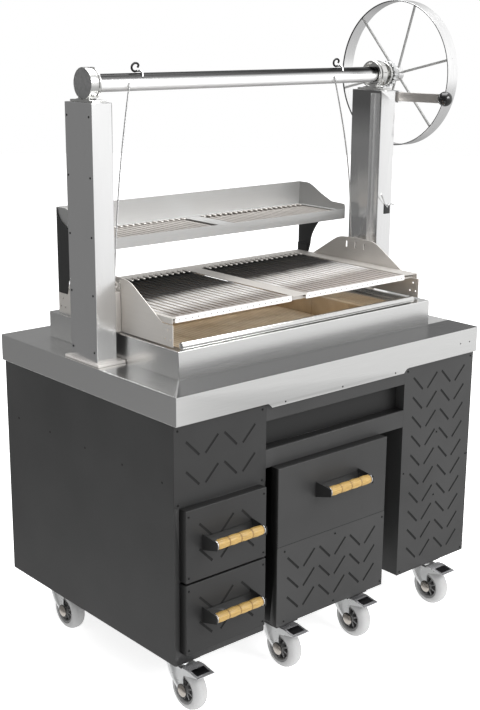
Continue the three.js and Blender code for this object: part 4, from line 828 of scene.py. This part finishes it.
class GRILL_OT_bearings(bpy.types.Operator):
    """Pillow bearings: turned drums with a groove, on feet bolted to the posts"""
    bl_idname = "grill.bearings"
    bl_label = "Bearings"

    def execute(self, context):
        drum = [(33.1, 42.5), (52.7, 42.5), (53.5, 41.8), (53.5, 39.5), (59.5, 39.5), (59.5, 41.8),
                (60.3, 42.5), (64.7, 42.5), (65.5, 41.7), (65.5, 37.3), (64.7, 36.5), (56.3, 36.5),
                (55.5, 35.7), (55.5, 15.6)]
        blind = [(33.1, 0), (33.1, 40.2), (31.5, 40.6), (31.5, 41.6), (32.1, 42.2), *drum, (37.5, 15.6),
                 (37.5, 0)]
        bored = [(31.5, 15.6), (31.5, 41.3), (32.3, 42.2), *drum, (31.5, 15.6)]
        foot = [bar((25.5, 380, 1597.3), (71.5, 484, 1603.3), 1.2),
                bar((33.5, 407, 1600), (63.5, 457, 1618), 3.0)]
        for y in (396, 468):
            foot += bolt(48.5, y, 1603.3, 7.0, 4.8, 1)
        metals = [bright_bar, screw_steel]
        left = built("left_bearing_body", [turned(blind, SHAFT_AXIS, 64)] + foot, metals, "cabinet")
        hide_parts("left_bearing")
        disc = turned([(32.4, 0), (32.4, 40.1), (33.2, 40.1), (33.2, 0)], SHAFT_AXIS, 64)
        built("left_bearing_disc", [disc], disc_steel, "cabinet")
        parts = mirrored([turned(bored, SHAFT_AXIS, 64)] + foot)
        right = built("right_bearing_body", parts, metals, "cabinet")
        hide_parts("right_bearing")
        return {"FINISHED"}


class GRILL_OT_shaft(bpy.types.Operator):
    """Lift shaft: the tube with its journals, collar and eye hooks, and the ratchet"""
    bl_idname = "grill.shaft"
    bl_label = "Lift shaft"

    def execute(self, context):
        sleeve = [(58, 0), (58, 23.2), (58.8, 24), (1141.2, 24), (1142, 23.2), (1142, 0)]
        left = [(38.1, 0), (38.1, 14), (39.1, 15), (58.5, 15), (58.5, 0)]
        right = [(1141.5, 0), (1141.5, 15), (1189, 15), (1189, 37), (1190, 38), (1196, 38), (1197, 37),
                 (1197, 15), (1270, 15), (1271, 14), (1271, 0)]
        parts = [turned(sleeve, SHAFT_AXIS, 64), turned(left, SHAFT_AXIS, 48, 2),
                 turned(right, SHAFT_AXIS, 64, 2)]
        shank = smooth([(214, 411, 1658), (219, 419, 1669), (218, 428, 1674.5), (210, 432, 1674)], 6)
        loop = smooth([(218, 428, 1674.5), (210, 432, 1674), (202, 432, 1673), (195, 432, 1677),
                       (192.5, 432, 1684), (196, 432, 1691), (204, 432, 1695), (212, 432, 1693.5),
                       (215.5, 432, 1689), (212.5, 432, 1683)], 6)
        for x in (0, 772):
            parts += [tube(shank + [x, 0, 0], 2.9, 12, 3), tube(loop + [x, 0, 0], 3.0, 12, 1)]
        metals = [tube_steel, black_oxide, bright_bar, screw_steel]
        piece = built("lift_shaft_tube", parts, metals, "lift_shaft")
        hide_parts("lift_tube")
        dressed("ratchet_wheel", zinc_plate, 0.6, wide=2.0)
        return {"FINISHED"}


class GRILL_OT_handwheel(bpy.types.Operator):
    """Handwheel: a rolled strip rim on six rods that meet in a bored hub"""
    bl_idname = "grill.handwheel"
    bl_label = "Handwheel"

    def execute(self, context):
        spoke = context.scene.grill_lift.spoke
        rim = [(1238, 227.8), (1238.8, 227), (1285.2, 227), (1286, 227.8), (1286, 229.2), (1285.2, 230),
               (1238.8, 230), (1238, 229.2)]
        hub = [(1243, 15.3), (1243, 22), (1244, 23), (1266, 23), (1267, 22), (1267, 15.3)]
        cut = [(1237.9, 229.3), (1237.9, 227.6), (1238.6, 226.8), (1241.6, 226.8), (1241.6, 228.5),
               (1238.3, 229.7)]
        parts = [turned(profile, SHAFT_AXIS, sides, metal, closed=True)
                 for profile, sides, metal in ((rim, 144, 0), (hub, 48, 0), (cut, 144, 3))]
        for angle in np.radians(-13 + 60 * np.arange(6)):
            way = np.array([0, math.cos(angle), math.sin(angle)])
            rod = SHAFT_AXIS + [1258, 0, 0] + way * [[20], [60], [120], [180], [227.5]]
            head = SHAFT_AXIS + [1262, 0, 0] + way * [[228.6], [229.8], [229.95]]
            parts += [tube(rod, spoke, 16, 2), tube(head, [3.4, 3.4, 2.4], 12, 1)]
        metals = [strip_steel, black_oxide, rod_steel, edge_steel]
        wheel = built("handwheel_rim", parts, metals, "lift_shaft", 40)
        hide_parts("handwheel")
        angle = np.radians(np.linspace(-40, 220, 30))
        ring = SHAFT_AXIS + np.stack([np.full(30, 1268.3), 18 * np.cos(angle), 18 * np.sin(angle)], -1)
        built("handwheel_circlip", [tube(ring, 1.9, 10)], black_oxide, "lift_shaft")
        return {"FINISHED"}


class GRILL_OT_lever(bpy.types.Operator):
    """Brake lever: a flat bar on its pin, with a polished ball"""
    bl_idname = "grill.lever"
    bl_label = "Brake lever"

    def execute(self, context):
        dressed("brake_lever", lever_steel, 0.8, wide=3.0)
        radius, height = 23, 1577
        middle = sum(corners("lever_knob")) / 2
        angle = np.linspace(-np.pi / 2, np.pi / 2, 25)
        profile = radius * np.stack([np.sin(angle), np.cos(angle)], -1)
        ball = turned(profile, (middle[0], middle[1], height), 48, axis="z")
        piece = built("lever_ball", [ball], ball_phenolic, "brake_lever", 60)
        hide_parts("lever_knob")
        return {"FINISHED"}


class GRILL_OT_cables(bpy.types.Operator):
    """Lifting cables: three strands laid round each other from the shaft to the carriage's eyes"""
    bl_idname = "grill.cables"
    bl_label = "Lifting cables"

    def execute(self, context):
        lift = context.scene.grill_lift
        for side, foot, depth, top, bow in (("left", 98, 397, 165, (-9, 0, 0)),
                                            ("right", 1102, 467, 942, (14, -7, 0))):
            start, end = np.array([foot, depth, 1112.2]), np.array([top, 404.8, 1644.8])
            length = np.linalg.norm(end - start)
            t = np.linspace(0, 1, int(length / lift.lay * 14))[:, None]
            u = np.cross((end - start) / length, [0, 1, 0])
            v = np.cross((end - start) / length, u / np.linalg.norm(u))
            core = start + t * (end - start) + np.sin(np.pi * t) * bow
            parts = []
            for strand in range(3):
                angle = 2 * np.pi * (t * length / lift.lay + strand / 3)
                path = core + lift.rope * 0.5 * (np.cos(angle) * u + np.sin(angle) * v)
                parts.append(tube(path, lift.rope * 0.52, 8))
            rope = built(side + "_cable_strands", parts, rope_steel, "cabinet", 60)
            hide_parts(side + "_cable")
            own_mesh(rope)
        return {"FINISHED"}


# Carriage


def comb(first, count, low, high):
    """A row of rounded tips, one over each channel; low and high are a tip's corners (y, z)."""
    return [bar((x - 4.5, *low), (x + 4.5, *high), 1.8) for x in first + CHANNEL_PITCH * np.arange(count)]


class GRILL_OT_carriage(bpy.types.Operator):
    """Carriage: side plates, slide blocks with eye bolts, grate frame and V-channel grates"""
    bl_idname = "grill.carriage"
    bl_label = "Carriage and grates"

    def execute(self, context):
        eye_x, angle = 98, np.linspace(0, 2 * np.pi, 32, endpoint=False)
        for side, depth in (("left", 397.0), ("right", 467.0)):
            dressed(side + "_carriage_plate", warm_steel, 0.9, wide=2.4)
            ring = np.stack([eye_x + 8 * np.cos(angle), np.full(32, depth), 1101.2 + 8 * np.sin(angle)], -1)
            nut = [(1081, 0), (1081, 5), (1086, 5), (1087, 4), (1087, 0)]
            parts = [bar((83.7, 385, 969), (110.2, 479, 1082), 2.0),
                     bar((81.3, 382.6, 969), (84.4, 481.4, 1082), 0.8),
                     bar((69.3, 379, 969), (82, 411, 1082), 0.8), tube(ring, 2.5, 12, closed=True),
                     tube([(eye_x, depth, 1080), (eye_x, depth, 1093.4)], 2.5, 12),
                     turned(nut, (eye_x, depth, 0), 6, axis="z")]
            if side == "right":
                parts = mirrored(parts)
            block = built(side + "_slide_block_eye", parts, warm_steel, "carriage")
            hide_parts(side + "_slide_block")
        dressed("grate_frame", warm_steel, 0.8, wide=8.0)
        drip_hole = [(0, 0), (0, 1.7), (-0.12, 1.7), (-0.12, 0)]
        for side, first in (("left", 143), ("right", 624)):
            dressed(side + "_grate", channel_steel, 0)
            parts = comb(first, 19, (616, 1047.2), (650, 1051.6))
            for x in first + CHANNEL_PITCH * np.arange(19):
                parts.append(turned(drip_hole, (x, 166, 1038.5), 10, 1, axis="y"))
            built(side + "_grate_comb", parts, [warm_steel, black_oxide], "carriage")
        return {"FINISHED"}


class GRILL_OT_shelf(bpy.types.Operator):
    """Warming shelf with its raised back, its channel grate and its two black arms"""
    bl_idname = "grill.shelf"
    bl_label = "Warming shelf"

    def execute(self, context):
        dressed("warming_shelf", shelf_steel, 0.9, wide=8.0)
        dressed("shelf_grate", clean_channel, 0)
        tips = [tip for first in (141, 641) for tip in comb(first, 20, (664, 1204.9), (685, 1209))]
        built("shelf_combs", tips, warm_steel, "carriage")
        for side in ("left", "right"):
            dressed(side + "_shelf_arm", black_enamel, 0.9, wide=2.4)
        return {"FINISHED"}


class GRILL_OT_opener(bpy.types.Operator):
    """Opener hook: two bent wires welded on a small plate"""
    bl_idname = "grill.opener"
    bl_label = "Opener hook"

    def execute(self, context):
        wires = [[(1162.5, 364.7, 1224), (1149, 364.7, 1236), (1141, 362.2, 1245), (1119.5, 354.7, 1272)],
                 [(1162.5, 364.7, 1228), (1176, 364.7, 1234), (1189.5, 362.2, 1232), (1216.5, 354.7, 1236)]]
        parts = [bar((1149, 366.2, 1203), (1176, 368.7, 1232), 0.8)]
        parts += [tube(smooth(wire, 10), 2.0, 12, 1) for wire in wires]
        hook = built("opener_hook_wires", parts, [black_enamel, screw_steel], "cabinet")
        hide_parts("opener_hook")
        return {"FINISHED"}


# Drawers and cart


def grip_piece(name, node, body):
    """A bamboo grip between steel ends. Its radius is 14 mm * (0.915 + 0.085 * sin(pi * s) ** 2) for s from
    0 to 4, with a raised ring at each knot; the attribute ring marks the knots."""
    low, high = corners(node)
    s = np.linspace(0, 4, 161)
    knot = np.exp(-((s - np.round(s)) / 0.028) ** 2) * (np.round(s) > 0) * (np.round(s) < 4)
    radius = 14 * (0.915 + 0.085 * np.sin(np.pi * s) ** 2) + 0.9 * knot - 0.1
    place = low[0] + 4 + s / 4 * (high[0] - low[0] - 8)
    profile = [(place[0], 0), *zip(place, radius), (place[-1], 0)]
    left = low[0] + np.array([0, 0, 0.7, 3.4, 4.1, 4.1])
    line = (0, (low[1] + high[1]) / 2, low[2] + 14)
    ends = [turned(np.stack([x, [0, 13, 14, 14, 13, 0]], -1), line, 32, 1)
            for x in (left, low[0] + high[0] - left)]
    piece = built(name, [turned(profile, line, 32), *ends], [cane, screw_steel], body, 40)
    points = np.empty(len(piece.data.vertices) * 3)
    piece.data.vertices.foreach_get("co", points)
    x = (points[::3] / MM + SHIFT[0] - place[0]) / (place[-1] - place[0]) * 4
    near = np.exp(-((x - np.round(x)) / 0.05) ** 2) * 0.85
    piece.data.attributes.new("ring", "FLOAT", "POINT").data.foreach_set("value", near.astype(np.float32))
    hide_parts(node)


class GRILL_OT_drawers(bpy.types.Operator):
    """Two powder-coated drawers with engraved fronts, screws and handles"""
    bl_idname = "grill.drawers"
    bl_label = "Drawers"

    def execute(self, context):
        sheet = context.scene.grill_sheet
        for level, low in (("upper", 376), ("lower", 166)):
            body = level + "_drawer"
            engraved(dressed(body, drawer_coat, sheet.fold * 0.8, angle=3), DRAWER_FRONT)
            places = [(x, low + z) for x in (26, 289.5) for z in (14, 187)]
            parts = [screw(x, DRAWER_FRONT, z, "-y", sheet.screw) for x, z in places]
            built(level + "_drawer_screws", parts, black_oxide, body)
            dressed(level + "_handle_bracket", black_enamel, 0.8, wide=2.4)
            grip_piece(level + "_drawer_grip", level + "_grip", body)
        return {"FINISHED"}


class GRILL_OT_cart(bpy.types.Operator):
    """Pull-out cart: plain upper front, engraved lower panel, screws and handle"""
    bl_idname = "grill.cart"
    bl_label = "Cart"

    def execute(self, context):
        sheet = context.scene.grill_sheet
        dressed("cart_body", cart_coat, sheet.fold)
        engraved(dressed("cart_decor_panel", coat, sheet.fold * 0.5, wide=8.0, angle=3), DRAWER_FRONT)
        seam = bar((343, DRAWER_FRONT - 0.1, 384.8), (778, DRAWER_FRONT + 0.8, 386.4), 0.2)
        built("cart_panel_seam", [seam], stroke_coat, "cart")
        places = [(370.5, 368), (570.5, 368.5), (770, 367), (370.5, 153), (570, 155), (770.5, 156.5)]
        parts = [screw(x, DRAWER_FRONT, z, "-y", sheet.screw) for x, z in places]
        built("cart_screws", parts, black_oxide, "cart")
        dressed("cart_handle_bracket", black_enamel, 0.8, wide=2.4)
        grip_piece("cart_bamboo_grip", "cart_grip", "cart")
        return {"FINISHED"}


# Castors


def wheel_parts(x, y, spokes):
    """A castor wheel: a tread ring with round shoulders, a rimmed core of thin spokes in it, and a hub."""
    centre = np.array([x, y, AXLE])
    turn = np.linspace(-np.pi / 2, np.pi / 2, 13)
    crown = [(3 * np.sign(a) * min(1, abs(a) * 3) + 19 * math.sin(a), 42 + 19 * math.cos(a)) for a in turn]
    tread = [(-21, 40.4), *crown, (21, 40.4)]
    ring = [(-19, 41), (-20.5, 39.5), (-20.5, 36), (-18, 33), (-12, 32), (12, 32), (18, 33), (20.5, 36),
            (20.5, 39.5), (19, 41)]
    hub = [(-23, 5.6), (-23, 13.5), (-22, 15), (22, 15), (23, 13.5), (23, 5.6)]
    web = [(-3, 14.5), (-3, 33), (3, 33), (3, 14.5)]
    parts = [turned(profile, centre, sides, part, closed=True)
             for profile, sides, part in ((tread, 72, 0), (ring, 60, 1), (hub, 32, 1), (web, 60, 2))]
    for angle in 2 * np.pi * np.arange(spokes) / spokes:
        way = np.array([0, math.cos(angle), math.sin(angle)])
        side = np.array([0, -math.sin(angle), math.cos(angle)])
        grid = [[centre + way * radius + side * half * s + [w, 0, 0]
                 for w, s in ((-15, -1), (-15, 1), (15, 1), (15, -1))]
                for radius, half in ((14, 2.6), (33.5, 1.8))]
        parts.append(surface(np.array(grid), around=True, material=1))
    return parts


def fork_parts(x, y):
    """A pressed fork: two shields that narrow from the crown to the axle and swell outwards at the rear, a
    bridge, the bearing cup over it and a domed cap on each end of the axle."""
    heights = np.array([39.0, 43, 48, 53, 58, 66, 76, 88, 100, 110, 116, FORK_TOP])[:, None]
    rear = y + np.array([6.0, 15, 20, 24, 30, 40, 50, 57, 63, 69, 73, 74.5])[:, None]
    front = y + np.array([-3.0, -9, -12, -12.5, -11, -7, -4, -3.5, -5.5, -6.5, -2.0, -1.0])[:, None]
    across = np.linspace(0, 1, 13)
    swell = 4.5 * np.sin(np.pi * np.clip((across - 0.42) / 0.58, 0, 1)) ** 2
    swell = swell * np.clip((heights - 50) / 30, 0, 1)
    deep = front + across * (rear - front)
    tall = np.broadcast_to(heights, deep.shape)
    cap = [(0, 0), (0, 18), (1.2, 18), (2.0, 17), (3.8, 14), (4.7, 8), (4.9, 0)]
    gap = [(0, 17.2), (0, 19.2), (1.4, 19.2), (1.4, 17.2)]
    parts = []
    for side in (-1, 1):
        outer = np.stack([x + side * (26.6 + swell), deep, tall], -1)
        inner = np.stack([np.full(deep.shape, x + side * 24.2), deep, tall], -1)
        parts.append(surface(capped(np.concatenate([outer, inner[:, ::-1]], 1)), around=True))
        parts.append(turned(np.array(cap) * [side, 1], (x + side * 26.8, y, AXLE), 28, 1))
        parts.append(turned(np.array(gap) * [side, 1], (x + side * 26.7, y, AXLE), 28, 2, closed=True))
    parts.append(bar((x - 27, y - 0.8, 116.2), (x + 27, y + 74.8, FORK_TOP), 0.8))
    parts.append(tube([(x - 26, y, AXLE), (x + 26, y, AXLE)], 4.9, 14))
    cup = [(FORK_TOP - 1, 0), (FORK_TOP - 1, 23), (FORK_TOP + 2, 23), (FORK_TOP + 4, 20), (CROWN, 20),
           (CROWN, 0)]
    parts.append(turned(cup, (x, y + 37, 0), 32, axis="z"))
    return parts


def pedal_parts(x, y):
    """A brake pedal of pressed sheet: a ridge over the fork, a tread that falls forward from it to a flat
    front lip, and a cheek down each side."""
    rear = y - 1.9
    line = smooth([(0, 124.3), (-10, 125.4), (-22, 125.9), (-30, 124.6), (-44, 121.8), (-62, 119.6),
                   (-66, 119.2), (-70, 119.6)], 4) + [rear, 0]
    section = [(-1, -0.9), (-0.94, 0), (0.94, 0), (1, -0.9), (0.94, -2.3), (-0.94, -2.3)]
    halves = np.linspace(29.2, 29.9, len(line))
    loops = [[(x + half * u, place, height + w) for u, w in section]
             for half, (place, height) in zip(halves, line)]
    cheek = [rear, 0] + np.array([(-2.5, 116.6), (-2.5, 123.6), (-22, 125.0), (-44, 121.0), (-65, 118.4),
                                  (-62, 116.8), (-40, 111.5), (-20, 106.5), (-6, 103.2)])
    tread = [rear, 0] + np.array([(-31, 125.0), (-31, 123.9), (-59, 119.4), (-59, 120.5)])
    return [surface(capped(np.array(loops)), around=True), prism(cheek, x - 29.9, x - 27.6, 1),
            prism(cheek, x + 27.6, x + 29.9, 1), prism(tread, x - 22, x + 22, 2),
            bar((x - 29, rear - 2.5, 118.4), (x + 29, rear, 124.0), 0.6, 1)]


class GRILL_OT_castors(bpy.types.Operator):
    """Swivel castors with brake pedals under the cabinet and cart, and the cart's fixed rear wheels"""
    bl_idname = "grill.castors"
    bl_label = "Castors"

    def execute(self, context):
        spokes = context.scene.grill_castor.spokes
        places = {"front_left": (47, 7.5), "rear_left": (59, 613), "front_right": (1044, 7.5),
                  "rear_right": (1127, 613), "cart_left": (402, 12), "cart_right": (691, 12),
                  "cart_rear_left": (402, 560), "cart_rear_right": (691, 560)}
        for name, (x, y) in places.items():
            wheel = built(name + "_castor_wheel", wheel_parts(x, y, spokes),
                          [tread_rubber, core_nylon, core_shade], name + "_wheel")
            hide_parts(name + "_wheel")
            if name.startswith("cart_rear"):
                continue
            fork = built(name + "_castor_fork", fork_parts(x, y), [zinc_plate, cap_steel, black_oxide],
                         name + "_fork")
            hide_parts(name + "_fork")
            if not name.startswith("rear"):
                pedal = built(name + "_castor_pedal", pedal_parts(x, y),
                              [chrome_plate, zinc_plate, tread_chrome], name + "_pedal")
                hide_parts(name + "_pedal")
        return {"FINISHED"}


# Panel, registration and the run


STEPS = (GRILL_OT_stage, GRILL_OT_worktop, GRILL_OT_columns, GRILL_OT_firebox, GRILL_OT_posts,
         GRILL_OT_bearings, GRILL_OT_shaft, GRILL_OT_handwheel, GRILL_OT_lever, GRILL_OT_cables,
         GRILL_OT_carriage, GRILL_OT_shelf, GRILL_OT_opener, GRILL_OT_drawers, GRILL_OT_cart,
         GRILL_OT_castors)
SETTINGS = {"grill_sheet": SheetSettings, "grill_lift": LiftSettings, "grill_fire": FireSettings,
            "grill_castor": CastorSettings, "grill_stage": StageSettings}


class GRILL_PT_steps(bpy.types.Panel):
    """Lists the steps that build the grill's looks, and their sizes and colours"""
    bl_idname = "GRILL_PT_steps"
    bl_label = "Grill"
    bl_space_type = "VIEW_3D"
    bl_region_type = "UI"
    bl_category = "Grill"

    def draw(self, context):
        for name, group in SETTINGS.items():
            for key in group.__annotations__:
                self.layout.prop(getattr(context.scene, name), key)
        for step in STEPS:
            self.layout.operator(step.bl_idname)


def register():
    for group in SETTINGS.values():
        bpy.utils.register_class(group)
    for kind in (*STEPS, GRILL_PT_steps):
        bpy.utils.register_class(kind)
    for name, group in SETTINGS.items():
        setattr(bpy.types.Scene, name, PointerProperty(type=group))


def unregister():
    for name in SETTINGS:
        delattr(bpy.types.Scene, name)
    for kind in (GRILL_PT_steps, *reversed(STEPS), *SETTINGS.values()):
        bpy.utils.unregister_class(kind)


def main():
    register()
    for step in STEPS:
        group, name = step.bl_idname.split(".")
        getattr(getattr(bpy.ops, group), name)()


if __name__ == "__main__":
    main()
